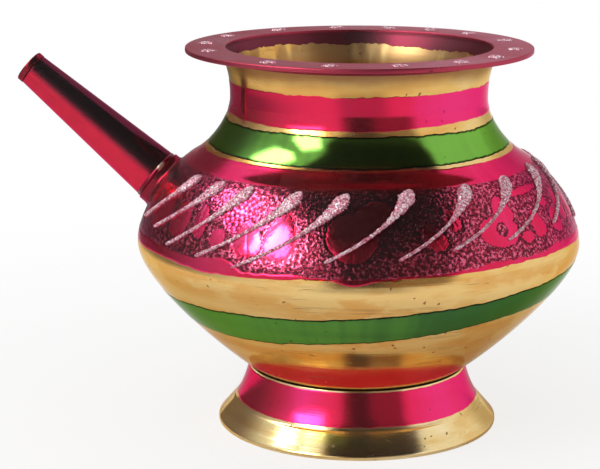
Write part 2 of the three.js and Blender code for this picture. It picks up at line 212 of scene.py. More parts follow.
class Shape:
    """Turns grids of points into closed, smooth-shaded objects."""

    SHARP = math.radians(38.0)

    @staticmethod
    def quads(rings: int, points: int, ring_loop: bool, point_loop: bool) -> Array:
        """Lists the four corners of each cell in a grid of rings by points.

        Args:
            rings: number of rings.
            points: number of points in each ring.
            ring_loop: whether the last ring joins the first.
            point_loop: whether the last point of a ring joins its first.

        Returns:
            Corner numbers, four to a row.
        """
        ring = np.arange(rings if ring_loop else rings - 1)[:, None]
        point = np.arange(points if point_loop else points - 1)[None, :]
        next_ring, next_point = (ring + 1) % rings * points, (point + 1) % points
        ring = ring * points
        corners = (ring + point, next_ring + point, next_ring + next_point, ring + next_point)
        return np.stack(np.broadcast_arrays(*corners), axis=-1).reshape(-1, 4)

    @staticmethod
    def volume(vertices: Array, faces: list[Array]) -> float:
        """Measures the signed volume inside the faces; it is positive where they point out.

        Args:
            vertices: one row of x, y, z for each vertex.
            faces: arrays of corner numbers.

        Returns:
            The volume, in the vertices' unit cubed.
        """
        total = 0.0
        for group in faces:
            first = vertices[group[:, 0]]
            for k in range(1, group.shape[1] - 1):
                second, third = vertices[group[:, k]], vertices[group[:, k + 1]]
                total += float(np.einsum("ij,ij->i", first, np.cross(second, third)).sum())
        return total / 6.0

    @classmethod
    def make(cls, name: str, vertices: Array, faces: list[Array], marks: Marks | None = None) -> Piece:
        """Makes an object from vertices in millimetres and groups of faces.

        Args:
            name: the piece's name.
            vertices: one row of x, y, z for each vertex.
            faces: arrays of corner numbers, each with one number of corners to a face.
            marks: values kept at the vertices for the finish to read, by name.

        Returns:
            The object, linked to the scene, with its faces pointing out.
        """
        if cls.volume(vertices, faces) < 0.0:
            faces = [group[:, ::-1] for group in faces]
        mesh = bpy.data.meshes.new(name)
        mesh.vertices.add(len(vertices))
        mesh.vertices.foreach_set("co", (vertices * MM).astype(np.float32).ravel())
        corners = np.concatenate([group.ravel() for group in faces])
        sizes = np.concatenate([np.full(len(group), group.shape[1]) for group in faces])
        mesh.loops.add(len(corners))
        mesh.loops.foreach_set("vertex_index", corners.astype(np.int32))
        mesh.polygons.add(len(sizes))
        mesh.polygons.foreach_set("loop_start", (np.cumsum(sizes) - sizes).astype(np.int32))
        mesh.update(calc_edges=True)
        mesh.validate()
        mesh.shade_smooth()
        mesh.set_sharp_from_angle(angle=cls.SHARP)
        keep(mesh, marks or {})
        return placed(name, mesh)

    @classmethod
    def hoop(cls, name: str, grid: Array, marks: Marks | None = None) -> Piece:
        """Joins closed cross-sections, one after the other, into a closed hoop.

        Args:
            name: the piece's name.
            grid: points by cross-section, by point, by axis, in millimetres.
            marks: values for each point of the grid, by name.

        Returns:
            The object.
        """
        faces = cls.quads(grid.shape[0], grid.shape[1], True, True)
        return cls.make(name, grid.reshape(-1, 3), [faces], marks)

    @classmethod
    def skin(cls, name: str, face: Array, back: Array, marks: Marks) -> Piece:
        """Joins the face and the back of a film that goes right round; its marks are 0 at the back.

        Args:
            name: the piece's name.
            face: points of the face, by azimuth and by row.
            back: points of the back, in the opposite order.
            marks: values for each point of the face, by name.

        Returns:
            The object.
        """
        hidden = np.zeros(back.shape[:2])
        kept = {mark: np.concatenate([np.broadcast_to(values, face.shape[:2]), hidden], axis=1)
                for mark, values in marks.items()}
        return cls.hoop(name, np.concatenate([face, back], axis=1), kept)

    @classmethod
    def strip(cls, name: str, grid: Array) -> Piece:
        """Joins closed cross-sections into a body with a cap on its first and last one.

        Args:
            name: the piece's name.
            grid: points by cross-section, by point, by axis, in millimetres.

        Returns:
            The object.
        """
        count, points = grid.shape[:2]
        first = np.arange(points)[None, :]
        caps = [first, (count - 1) * points + first[:, ::-1]]
        return cls.make(name, grid.reshape(-1, 3), [cls.quads(count, points, False, True), *caps])


@dataclass(frozen=True)
class Axis:
    """A line that pieces are turned about."""

    origin: Array
    along: Array
    across: Array

    def spots(self, radius: Array, azimuth: Array, height: Array) -> Array:
        """Gives points in the frame, in millimetres.

        Args:
            radius: distance from the axis.
            azimuth: angle about the axis, in radians.
            height: distance along the axis from its origin.

        Returns:
            Points, with x, y, z as the last axis.
        """
        radius, azimuth, height = (v[..., None] for v in np.broadcast_arrays(radius, azimuth, height))
        side = np.cross(self.along, self.across)
        out = radius * np.cos(azimuth) * self.across + radius * np.sin(azimuth) * side
        return self.origin + out + height * self.along

    def turn(self, name: str, outline: Array, turns: int) -> Piece:
        """Turns an outline about the axis.

        Args:
            name: the piece's name.
            outline: points (r, height) of a closed outline, or of one that starts and ends on the axis.
            turns: facets right round.

        Returns:
            The turned object.
        """
        azimuth = all_round(turns)
        if outline[0, 0] > 0.0:
            return Shape.hoop(name, self.spots(outline[:, 0], azimuth, outline[:, 1]))
        wall = outline[1:-1]
        grid = self.spots(wall[:, 0], azimuth, wall[:, 1]).reshape(-1, 3)
        poles = self.origin + outline[[0, -1], 1][:, None] * self.along
        count, base, ring = len(wall), len(grid), np.arange(turns)
        ahead, top = (ring + 1) % turns * count, count - 1
        fans = np.concatenate([
            np.stack([ring * 0 + base, ahead, ring * count], axis=1),
            np.stack([ring * 0 + base + 1, ring * count + top, ahead + top], axis=1),
        ])
        faces = [Shape.quads(turns, count, True, False), fans]
        return Shape.make(name, np.concatenate([grid, poles]), faces)


@dataclass
class Outline:
    """The outside of the pot from the middle of its bottom to the neck's top, as one smooth run of (r, z)."""

    belly_rise: float = 35.8
    belly_fullness: tuple[float, float] = (8.2, 7.3)
    wall: float = 1.2
    shoulder_radius: float = 47.3
    shoulder_rise: float = 24.0
    shoulder_slope: float = 150.4
    shoulder_eases: tuple[float, float] = (8.3, 7.2)
    waist_radius: float = 36.0
    waist_rise: float = 16.7
    waist_ease: float = 5.4
    neck_top_slope: float = 72.0
    neck_top_ease: float = 5.0
    joint: tuple[float, float] = (31.0, 17.2)
    bowl_slope: float = 36.2
    bowl_ease: float = 14.8
    bottom_height: float = 7.0
    bottom_flatness: float = 17.0
    seam_rise: float = 2.2
    rim_width: float = 11.2

    def __post_init__(self) -> None:
        """Takes the main sizes from the frame and lays the run out."""
        bowl_low, bowl_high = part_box("lower_bowl")
        rim_low, rim_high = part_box("rim_ring")
        self.axis_x = (bowl_low.x + bowl_high.x) / 2 / MM
        self.rim_radius = (rim_high.y - rim_low.y) / 2 / MM
        self.mouth_radius = self.rim_radius - self.rim_width
        self.rim_under, self.rim_top = rim_low.z / MM, rim_high.z / MM
        self.axis = Axis(np.array([self.axis_x, 0.0, 0.0]), np.array([0.0, 0.0, 1.0]), FRONT)
        joint = np.array(self.joint)
        belly = np.array([(bowl_high.y - bowl_low.y) / 2 / MM, joint[1] + self.belly_rise])
        shoulder = np.array([self.shoulder_radius, belly[1] + self.shoulder_rise])
        waist = np.array([self.waist_radius, shoulder[1] + self.waist_rise])
        neck_top = np.array([self.mouth_radius + self.wall, self.rim_under])
        self.shoulder_height, self.seam = float(shoulder[1]), float(belly[1]) + self.seam_rise
        runs = [
            curve(np.array([0.0, self.bottom_height]), 0, (self.bottom_flatness, self.bottom_flatness / 2),
                  self.bowl_slope, joint),
            curve(joint, self.bowl_slope, (self.bowl_ease, self.belly_fullness[0]), 90, belly),
            curve(belly, 90, (self.belly_fullness[1], self.shoulder_eases[0]), self.shoulder_slope, shoulder),
            curve(shoulder, self.shoulder_slope, (self.shoulder_eases[1], self.waist_ease), 90, waist),
            curve(waist, 90, (self.waist_ease, self.neck_top_ease), self.neck_top_slope, neck_top),
        ]
        run_on = neck_top + 3 * self.wall * heading(self.neck_top_slope)
        self.run = np.concatenate([runs[0]] + [run[1:] for run in runs[1:]] + [run_on[None]])
        steps = np.gradient(self.run, axis=0)
        steps /= np.linalg.norm(steps, axis=1)[:, None]
        self.normals = np.stack([steps[:, 1], -steps[:, 0]], axis=1)
        self.arc = self.lengths(self.run)

    @staticmethod
    def lengths(run: Array) -> Array:
        """Gives the length along a run at each of its points."""
        return np.concatenate([[0.0], np.cumsum(np.linalg.norm(np.diff(run, axis=0), axis=1))])

    def arc_at(self, height: Array) -> Array:
        """Gives the length along the outline at a height."""
        return np.interp(height, self.run[:, 1], self.arc)

    def height_at(self, arc: Array) -> Array:
        """Gives the height at a length along the outline."""
        return np.interp(arc, self.arc, self.run[:, 1])

    def section(self, height: Array, depth: Array) -> tuple[Array, Array]:
        """Gives r and z of a point at a height on the outline, moved inwards along its normal by a depth.

        Args:
            height: height on the outline before the depth is taken off.
            depth: distance inwards.

        Returns:
            The radius and the height of the moved point.
        """
        radius, out, up = (np.interp(height, self.run[:, 1], values)
                           for values in (self.run[:, 0], self.normals[:, 0], self.normals[:, 1]))
        return radius - depth * out, height - depth * up

    def inset(self, depth: float, low: float, high: float, step: float) -> Array:
        """Gives the outline moved inwards by a depth, between two heights.

        Args:
            depth: distance inwards, along the normal.
            low: height that it starts at.
            high: height that it ends at.
            step: greatest length between two points.

        Returns:
            Points (r, z), with one exactly at each height.
        """
        moved = self.run - depth * self.normals
        moved = moved[moved[:, 0] >= 0.0]
        path = self.lengths(moved)
        first, last = np.interp([low, high], moved[:, 1], path)
        spots = np.linspace(first, last, max(2, math.ceil((last - first) / step)))
        return np.stack([np.interp(spots, path, moved[:, k]) for k in range(2)], axis=1)

    def spots(self, azimuth: Array, height: Array, depth: Array) -> Array:
        """Gives points of the frame at azimuths in radians and heights, a depth under the outline."""
        radius, rise = self.section(height, depth)
        return self.axis.spots(radius, azimuth, rise)


@dataclass(frozen=True)
class PaintedEdge:
    """An edge laid on by hand: its height by azimuth, joined smoothly right round, with an unsteady line."""

    heights: tuple[tuple[float, float], ...]
    wobble: float = 0.1
    seed: int = 1
    ease: float = 3.0
    steps: int = 1440
    waves: tuple[int, int, int] = (7, 150, 4)

    def at(self, azimuth: Array) -> Array:
        """Gives the edge's height at azimuths in radians.

        Args:
            azimuth: the azimuths.

        Returns:
            The heights.
        """
        turn = np.arange(self.steps) * 360.0 / self.steps
        spots, values = zip(*sorted((a % 360.0, h) for a, h in self.heights))
        line = np.interp(turn, spots, values, period=360.0)
        pitches = np.fft.rfftfreq(self.steps, 1.0 / self.steps)
        soft = np.exp(-0.5 * (pitches * math.radians(self.ease)) ** 2)
        line = np.fft.irfft(np.fft.rfft(line) * soft, self.steps)
        rng = np.random.default_rng(self.seed)
        longest = self.waves[0]
        for wave in range(*self.waves):
            phase, share = rng.uniform(0, 2 * np.pi), rng.uniform(0.3, 1.0)
            line += self.wobble * share * (longest / wave) ** 0.7 * np.sin(wave * np.radians(turn) + phase)
        return np.interp(np.degrees(azimuth) % 360.0, turn, line, period=360.0)


class Net:
    """The nodes of a material or a world, made and joined by short calls."""

    def __init__(self, owner: bpy.types.ID, axis_x: float = 0.0) -> None:
        """Empties the owner's nodes.

        Args:
            owner: a material or a world.
            axis_x: where the pot's axis stands, in metres.
        """
        owner.use_nodes = True
        self.owner, self.tree, self.axis_x = owner, owner.node_tree, axis_x
        self.tree.nodes.clear()

    def add(self, kind: str, settings: dict | None = None, **sockets: object) -> bpy.types.Node:
        """Adds a node.

        Args:
            kind: the node's type, less ShaderNode.
            settings: values of its own, by name.
            sockets: what goes into each input, a value or another node's output; _ stands for a space.

        Returns:
            The node.
        """
        node = self.tree.nodes.new("ShaderNode" + kind)
        for key, value in (settings or {}).items():
            setattr(node, key, value)
        for key, value in sockets.items():
            self.feed(node.inputs[key.replace("_", " ")], value)
        return node

    def feed(self, socket: Socket, value: object) -> None:
        """Sets a socket to a value, or joins it to another node's output.

        Args:
            socket: an input.
            value: a number, a colour, a vector or an output.
        """
        if isinstance(value, Socket):
            self.tree.links.new(value, socket)
        elif socket.type == "RGBA":
            socket.default_value = (*value, 1.0)
        else:
            socket.default_value = value

    @cached_property
    def places(self) -> Socket:
        """The object's own coordinates."""
        return self.add("TexCoord").outputs["Object"]

    @cached_property
    def facing(self) -> Socket:
        """The normal of the face."""
        return self.add("NewGeometry").outputs["Normal"]

    def work(self, kind: str, operation: str, *values: object) -> bpy.types.NodeOutputs:
        """Does one sum on numbers or vectors and gives the node's outputs.

        Args:
            kind: Math or VectorMath.
            operation: the sum's name.
            values: what it works on.

        Returns:
            The node's outputs.
        """
        node = self.add(kind, {"operation": operation})
        for socket, value in zip(node.inputs, values):
            self.feed(socket, value)
        return node.outputs

    def fold(self, operation: str, first: object, *others: object) -> Socket:
        """Does the same sum on numbers one after the other.

        Args:
            operation: the sum's name.
            first: the number that it starts with.
            others: the numbers that follow.

        Returns:
            The result.
        """
        for other in others:
            first = self.work("Math", operation, first, other)[0]
        return first

    def plus(self, *values: object) -> Socket:
        """Adds numbers up."""
        return self.fold("ADD", *values)

    def times(self, *values: object) -> Socket:
        """Multiplies numbers."""
        return self.fold("MULTIPLY", *values)

    def less(self, *values: object) -> Socket:
        """Takes the other numbers from the first."""
        return self.fold("SUBTRACT", *values)

    def most(self, *values: object) -> Socket:
        """Gives the greatest of some numbers."""
        return self.fold("MAXIMUM", *values)

    def mark(self, name: str) -> Socket:
        """Reads a value kept at the mesh's vertices."""
        return self.add("Attribute", {"attribute_name": name}).outputs["Fac"]

    def part(self, vector: Socket, axis: str) -> Socket:
        """Gives one axis of a vector."""
        return self.add("SeparateXYZ", Vector=vector).outputs[axis]

    def noise(self, scale: float | Colour, detail: float = 2.0) -> Socket:
        """Gives soft random values from 0 to 1, at so many changes per metre, or so many along each axis.

        Args:
            scale: changes per metre.
            detail: how many finer layers are added.

        Returns:
            The values.
        """
        if isinstance(scale, tuple):
            places = self.add("Mapping", Vector=self.places, Scale=scale).outputs[0]
            return self.add("TexNoise", Vector=places, Scale=1.0, Detail=detail).outputs["Fac"]
        return self.add("TexNoise", Vector=self.places, Scale=scale, Detail=detail).outputs["Fac"]

    def lathe_noise(self, fine: float, slow: float, detail: float = 2.0) -> Socket:
        """Gives soft random values that change fast with radius and height, and slowly round the pot.

        Args:
            fine: changes per metre of radius and height.
            slow: changes per metre round the pot.
            detail: how many finer layers are added.

        Returns:
            The values, from 0 to 1.
        """
        y, z = self.part(self.places, "Y"), self.part(self.places, "Z")
        x = self.less(self.part(self.places, "X"), self.axis_x)
        square = self.plus(self.fold("POWER", x, 2.0), self.fold("POWER", y, 2.0))
        radius = self.work("Math", "SQRT", square)[0]
        places = self.add("CombineXYZ", X=self.times(radius, fine), Y=self.times(z, fine),
                          Z=self.times(self.plus(x, y), slow)).outputs[0]
        return self.add("TexNoise", Vector=places, Scale=1.0, Detail=detail).outputs["Fac"]

    def step(self, value: object, low: float, high: float, start: float = 0.0, end: float = 1.0) -> Socket:
        """Goes smoothly from start to end as value goes from low to high."""
        return self.add("MapRange", {"interpolation_type": "SMOOTHSTEP"}, Value=value, From_Min=low,
                        From_Max=high, To_Min=start, To_Max=end).outputs[0]

    def mix(self, share: object, first: object, second: object) -> Socket:
        """Mixes two colours.

        Args:
            share: 0 for the first and 1 for the second.
            first: a colour.
            second: a colour.

        Returns:
            The mixed colour.
        """
        node = self.add("Mix", {"data_type": "RGBA"})
        for index, value in ((0, share), (6, first), (7, second)):
            self.feed(node.inputs[index], value)
        return node.outputs[2]

    def bumps(self, *layers: tuple[object, float, float]) -> Socket:
        """Turns heights into a bumped normal.

        Args:
            layers: each has a height from 0 to 1, what 1 stands for in metres, and the share that is used.

        Returns:
            The normal, with each layer laid over the one before.
        """
        sockets: dict[str, object] = {}
        for height, distance, strength in layers:
            node = self.add("Bump", Height=height, Distance=distance, Strength=strength, **sockets)
            sockets["Normal"] = node.outputs[0]
        return sockets["Normal"]

    def end(self, shader: bpy.types.Node, kind: str = "Material") -> bpy.types.ID:
        """Ends the nodes in a shader and gives back what they belong to."""
        self.tree.links.new(shader.outputs[0], self.add("Output" + kind).inputs["Surface"])
        return self.owner


# Heights of bumps, in metres, and changes per metre of what several finishes share.
RING_DEPTH, GRAIN_DEPTH, DENT_DEPTH = 0.00002, 0.00008, 0.0004
PUNCH_DEPTH, FLAKE_DEPTH, LUMP_DEPTH = 0.0001, 0.00025, 0.0004
LACQUER_RINGS = (1500.0, 20.0)
DENTS = 46.0
SPECKS = 560.0
ROUGHNESS_SPREAD = (0.7, 1.5)
HAZE_ROUGHNESS = 0.75


@dataclass(frozen=True)
class Finish:
    """What a surface looks like; each kind lays out nodes of its own."""

    name: str

    def surface(self, net: Net) -> dict[str, object]:
        """Gives the inputs of the surface's shader, by name.

        Args:
            net: the material's nodes.

        Returns:
            The inputs.
        """
        raise NotImplementedError

    def material(self, axis_x: float) -> bpy.types.Material:
        """Makes the material for a pot whose axis stands at axis_x metres."""
        net = Net(bpy.data.materials.new(self.name), axis_x)
        return net.end(net.add("BsdfPrincipled", **self.surface(net)))


def uneven(net: Net, value: Socket, low: float, high: float, roughness: float) -> Socket:
    """Spreads a roughness by a value that goes from low to high."""
    return net.step(value, low, high, *(roughness * share for share in ROUGHNESS_SPREAD))


def darker(colour: Colour, share: float) -> Colour:
    """Gives a share of a colour."""
    return tuple(share * part for part in colour)


def polished(colour: Socket, roughness: Socket, normal: Socket, tint: Colour, coat: float,
             haze: float = HAZE_ROUGHNESS) -> dict[str, object]:
    """Gives the shader's inputs for metal under a clear coat, which stands for the haze of its polish."""
    return {"Base_Color": colour, "Metallic": 1.0, "Roughness": roughness, "Normal": normal,
            "Specular_Tint": tint, "Coat_Weight": coat, "Coat_Roughness": haze}


@dataclass(frozen=True)
class Brass(Finish):
    """Polished brass with turning lines, streaks of paler and warmer tone, specks and brown hairlines."""

    colour: Colour
    pale: Colour
    warm: Colour
    roughness: float = 0.13
    dents: float = 0.3
    # share of pale blotches, a painted soft reflection
    sheen_mottle: float = 0.0
    # heights where painted shade rises under the rim; also turns on streaks inside that paint shade
    rim_shade_heights: tuple[float, float] | None = None
    # brown of dirt, and of the painted shade under the rim and inside the mouth
    tarnish_and_shade: Colour = (0.2, 0.075, 0.03)
    edge_tint: Colour = (0.9, 0.72, 0.45)
    lines: float = 0.5
    haze: float = 0.45

    def inside(self, net: Net) -> Socket:
        """Gives 1 on faces turned to the pot's axis and 0 on faces turned away from it.

        Args:
            net: the material's nodes.

        Returns:
            The share.
        """
        from_axis = net.work("VectorMath", "SUBTRACT", net.places, (net.axis_x, 0.0, 0.0))[0]
        level = net.work("VectorMath", "MULTIPLY", from_axis, (1.0, 1.0, 0.0))[0]
        outwards = net.work("VectorMath", "DOT_PRODUCT", level, net.facing)["Value"]
        return net.step(outwards, 0.0, 0.004, 1.0, 0.0)

    def shade_and_streaks(self, net: Net, within: Socket) -> Socket:
        """Gives the share of brown: painted shade under the rim outside, streaks that also paint shade
        inside.

        Args:
            net: the material's nodes.
            within: 1 on faces turned to the axis.

        Returns:
            The share.
        """
        low, high = (height * MM for height in self.rim_shade_heights)
        # A brown ring of painted shade rises under the rim outside; brown streaks inside paint its shade too.
        ragged = net.plus(net.part(net.places, "Z"), net.times(net.noise(55.0, 3.0), 0.005))
        outer = net.times(net.step(ragged, low, high), net.less(1.0, within))
        runs = net.step(net.noise((110.0, 110.0, 14.0), 3.0), 0.4, 0.52)
        return net.plus(outer, net.times(runs, within, 0.75))

    def surface(self, net: Net) -> dict[str, object]:
        """Gives the inputs of the surface's shader, by name.

        Args:
            net: the material's nodes.

        Returns:
            The inputs.
        """
        rings, coarse = net.lathe_noise(2600.0, 25.0, 3.0), net.lathe_noise(420.0, 9.0)
        streak, cloud = net.lathe_noise(150.0, 30.0, 3.0), net.noise(38.0, 4.0)
        blotch = net.noise((95.0, 95.0, 230.0), 4.0)
        tone = net.mix(net.step(streak, 0.38, 0.52, 0.85, 0.0), self.colour, self.warm)
        tone = net.mix(net.step(streak, 0.5, 0.64, 0.0, 0.8), tone, self.pale)
        # Pale blotches paint soft reflections.
        tone = net.mix(net.step(blotch, 0.46, 0.6, 0.0, self.sheen_mottle), tone, self.pale)
        hairs = net.step(net.noise((110.0, 110.0, 1500.0)), 0.66, 0.72)
        hairs = net.times(hairs, net.step(net.noise(60.0), 0.46, 0.68), 0.6)
        specks = net.times(net.step(net.noise(SPECKS, 1.0), 0.72, 0.76), 0.8)
        smudge = net.step(net.times(cloud, net.step(coarse, 0.35, 0.65)), 0.54, 0.66, 0.0, 0.35)
        dirt_and_shade = [specks, hairs, smudge]
        rough = [uneven(net, cloud, 0.3, 0.8, self.roughness)]
        # On the neck the brown also paints shade under the rim and inside the mouth.
        if self.rim_shade_heights is not None:
            within = self.inside(net)
            dirt_and_shade.append(net.times(self.shade_and_streaks(net, within), 0.85))
            rough.append(net.times(within, 0.3))
        dirt_and_shade = net.most(*dirt_and_shade)
        rough[0] = net.plus(rough[0], net.times(dirt_and_shade, 0.22))
        normal = net.bumps((rings, RING_DEPTH, self.lines), (coarse, GRAIN_DEPTH, self.lines),
                           (net.noise(DENTS), DENT_DEPTH, self.dents))
        colour = net.mix(dirt_and_shade, tone, self.tarnish_and_shade)
        return polished(colour, net.most(*rough), normal, self.edge_tint, self.haze)


@dataclass(frozen=True)
class Lacquer(Finish):
    """A see-through coloured lacquer on bright brass, which shows as tinted metal under a clear face."""

    colour: Colour
    deep: Colour
    edge_tint: Colour
    roughness: float = 0.12
    line: Colour | None = None
    line_width: float = 0.62
    coat: float = 0.45
    coat_roughness: float = HAZE_ROUGHNESS
    # faces turned up more than this take the deep colour: painted shade
    painted_shade_above: float | None = None
    lines: float = 0.35
    dents: float = 0.3

    def surface(self, net: Net) -> dict[str, object]:
        """Gives the inputs of the shader; it reads how thick the colour lies from the mark "deep".

        On the pink bands that mark also paints lit and shaded sides, and inside the mouth painted shade.

        Args:
            net: the material's nodes.

        Returns:
            The inputs, by name.
        """
        pool, streak = net.noise(26.0, 3.0), net.lathe_noise(260.0, 14.0)
        thick = net.plus(net.mark("deep"), net.plus(net.times(pool, 0.5), net.times(streak, 0.3)))
        colour = net.mix(net.step(thick, 0.25, 1.15), self.colour, self.deep)
        # Faces turned upwards take the deep colour: painted shade.
        if self.painted_shade_above is not None:
            low, high = self.painted_shade_above - 0.16, self.painted_shade_above + 0.2
            colour = net.mix(net.step(net.part(net.facing, "Z"), low, high), colour, self.deep)
        specks = net.step(net.noise(SPECKS, 1.0), 0.74, 0.79, 0.0, 0.6)
        colour = net.mix(specks, colour, darker(self.deep, 0.3))
        if self.line is not None:
            ragged = net.plus(net.mark("edge"), net.times(net.noise(900.0), 0.6))
            edge = net.step(ragged, self.line_width * 0.8, self.line_width * 1.8, 1.0, 0.0)
            colour = net.mix(edge, colour, self.line)
        rough = uneven(net, pool, 0.3, 0.75, self.roughness)
        normal = net.bumps((net.lathe_noise(*LACQUER_RINGS), RING_DEPTH, self.lines),
                           (net.noise(110.0), GRAIN_DEPTH, self.lines),
                           (net.noise(DENTS), DENT_DEPTH, self.dents))
        return polished(colour, rough, normal, self.edge_tint, self.coat, self.coat_roughness)


@dataclass(frozen=True)
class ChasedLacquer(Finish):
    """The shoulder's lacquer: dark and grainy on the punched ground, bright on leaves and plain strips."""

    bright: Colour
    deep: Colour
    ground: Colour
    # bright specks on the raised grain: painted glints
    painted_glint: Colour
    # painted shade in the punches, the grooves and between the rosette's scales
    hollow: Colour
    # pale pink where the window's reflection falls: a painted highlight
    painted_highlight: Colour
    edge_tint: Colour
    roughness: tuple[float, float] = (0.12, 0.16)
    coat: float = 0.35
    lines: float = 0.3
    dents: float = 0.4

    def surface(self, net: Net) -> dict[str, object]:
        """Gives the inputs of the shader; it reads the marks "deep", "ground", "pit_shade" and "pale".

        Args:
            net: the material's nodes.

        Returns:
            The inputs, by name.
        """
        ground, pit_shade, pale = net.mark("ground"), net.mark("pit_shade"), net.mark("pale")
        thick = net.plus(net.mark("deep"), net.times(net.noise(24.0, 3.0), 0.8))
        plain = net.mix(net.step(thick, 0.25, 1.15), self.bright, self.deep)
        # Pale patches where the window's reflection falls on the leaves: a painted highlight.
        folds = net.step(net.noise(190.0, 3.0), 0.36, 0.5)
        plain = net.mix(net.times(pale, folds), plain, self.painted_highlight)
        # Raised specks of the punched grain take a painted glint, sunk specks a painted shade; the painted
        # highlight reaches them too.
        speck = net.plus(net.times(net.noise(1100.0, 1.0), 0.6), net.times(net.noise(2600.0), 0.4))
        punched = net.mix(net.step(speck, 0.52, 0.58), self.ground, self.painted_glint)
        sunk = net.most(net.step(speck, 0.44, 0.51, 1.0, 0.0), net.step(pit_shade, 0.35, 0.9))
        punched = net.mix(net.times(sunk, 0.9), punched, self.hollow)
        punched = net.mix(net.times(pale, net.step(speck, 0.46, 0.54)), punched, self.painted_highlight)
        colour = net.mix(ground, plain, punched)
        # More painted shade in the punches, the grooves and between the rosette's scales.
        colour = net.mix(net.step(pit_shade, 0.5, 0.95, 0.0, 0.85), colour, self.hollow)
        normal = net.bumps((net.lathe_noise(*LACQUER_RINGS), RING_DEPTH, self.lines),
                           (net.noise(DENTS), DENT_DEPTH, self.dents),
                           (net.times(ground, speck), PUNCH_DEPTH, 1.0))
        rough = net.step(ground, 0.0, 1.0, *self.roughness)
        return polished(colour, rough, normal, self.edge_tint, self.coat)


@dataclass(frozen=True)
class GlitterPaste(Finish):
    """Paste full of small bright flakes, each turned its own way."""

    flake: Colour
    blush: Colour
    gap: Colour
    size: float = 0.42

    def surface(self, net: Net) -> dict[str, object]:
        """Gives the inputs of the surface's shader, by name.

        Args:
            net: the material's nodes.

        Returns:
            The inputs.
        """
        scale = 1.0 / (self.size * MM)
        cells = net.add("TexVoronoi", Vector=net.places, Scale=scale, Randomness=1.0).outputs
        pick = net.add("SeparateColor", Color=cells["Color"]).outputs
        tint = net.mix(net.step(pick["Red"], 0.35, 0.9), self.flake, self.blush)
        edge = net.step(cells["Distance"], 0.45, 0.8, 0.0, 0.7)
        gaps = net.most(edge, net.step(pick["Green"], 0.7, 0.76, 0.0, 0.8))
        tilt = net.plus(cells["Distance"], net.times(pick["Blue"], 0.8))
        return {"Base_Color": net.mix(gaps, tint, self.gap), "Metallic": 0.4,
                "Roughness": net.step(pick["Blue"], 0.2, 0.8, 0.25, 0.6),
                "Normal": net.bumps((tilt, FLAKE_DEPTH, 0.8))}


@dataclass(frozen=True)
class Filler(Finish):
    """Braze or solder run into a joint: dull metal with lumps, bare round one place and painted elsewhere."""

    metal: Colour
    paint: Colour
    bare: Colour
    reach: float
    roughness: float = 0.4

    def surface(self, net: Net) -> dict[str, object]:
        """Gives the inputs of the surface's shader, by name.

        Args:
            net: the material's nodes.

        Returns:
            The inputs.
        """
        bare = tuple(value * MM for value in self.bare)
        away = net.work("VectorMath", "DISTANCE", net.places, bare)["Value"]
        ragged = net.plus(away, net.times(net.noise(420.0, 3.0), 0.004))
        painted = net.step(ragged, self.reach * MM, (self.reach + 1.0) * MM)
        lumps = net.noise(520.0, 3.0)
        metal = net.mix(net.step(lumps, 0.4, 0.7), self.metal, darker(self.metal, 0.55))
        return {"Base_Color": net.mix(painted, metal, self.paint), "Metallic": 0.9,
                "Roughness": self.roughness, "Normal": net.bumps((lumps, LUMP_DEPTH, 0.8))}


MAGENTA, CRIMSON = (0.84, 0.03, 0.2), (0.72, 0.014, 0.07)
PINK_TINT, GREEN_TINT = (0.9, 0.42, 0.56), (0.55, 0.65, 0.42)
GREEN_LINE = (0.006, 0.012, 0.004)
# The belly's more orange tone partly paints warm light reflected onto it; its pale mottle paints soft
# reflections.
BELLY_BRASS = Brass("belly_brass", (0.71, 0.4, 0.115), (0.78, 0.54, 0.21), (0.69, 0.34, 0.085), dents=0.55,
                    sheen_mottle=0.7)
# The neck's brown under the rim and inside the mouth is painted shade.
NECK_BRASS = Brass("neck_brass", (0.76, 0.47, 0.14), (0.8, 0.58, 0.25), (0.7, 0.37, 0.09),
                   rim_shade_heights=(101.5, 106.5))
# Under the rim the brass is dark maroon: partly lacquer, partly painted shade.
RIM_MAROON_AND_SHADE = Brass("rim_maroon_and_shade", (0.24, 0.035, 0.05), (0.3, 0.06, 0.07), (0.2, 0.025, 0.04), 0.3)
FOOT_BRASS = Brass("foot_brass", (0.8, 0.61, 0.29), (0.88, 0.72, 0.42), (0.72, 0.47, 0.17), 0.12)
NECK_PINK = Lacquer("pink_lacquer", MAGENTA, CRIMSON, PINK_TINT)
FOOT_PINK = Lacquer("foot_lacquer", MAGENTA, CRIMSON, PINK_TINT, lines=0.9)
RIM_PINK = Lacquer("rim_lacquer", (0.38, 0.022, 0.055), (0.13, 0.007, 0.022), PINK_TINT, 0.36, coat=0.65,
                   coat_roughness=0.5, lines=0.5)
UPPER_GREEN = Lacquer("green_lacquer", (0.18, 0.43, 0.06), (0.07, 0.17, 0.045), GREEN_TINT, 0.09, GREEN_LINE,
                      coat=0.15)
LOWER_GREEN = Lacquer("low_green_lacquer", (0.13, 0.36, 0.055), (0.04, 0.13, 0.035), GREEN_TINT,
                      line=GREEN_LINE, coat=0.2)
# The spout is darker on its upper side: painted shade.
MAROON = Lacquer("maroon_lacquer", (0.6, 0.014, 0.045), (0.09, 0.01, 0.024), PINK_TINT, 0.16,
                 painted_shade_above=0.14, lines=0.8)
ROOT_MAROON = Lacquer("root_lacquer", (0.22, 0.008, 0.02), (0.12, 0.006, 0.014), PINK_TINT, 0.2)
# Bright, deep, ground, painted glint, painted shade in hollows, painted highlight and edge tint.
CHASED = ChasedLacquer("chased_lacquer", (0.82, 0.036, 0.17), (0.62, 0.014, 0.06), (0.38, 0.025, 0.06),
                       (0.66, 0.12, 0.22), (0.075, 0.008, 0.018), (0.92, 0.11, 0.34), PINK_TINT)
GLITTER = GlitterPaste("glitter_paste", (0.97, 0.85, 0.89), (0.84, 0.3, 0.44), (0.42, 0.05, 0.1))


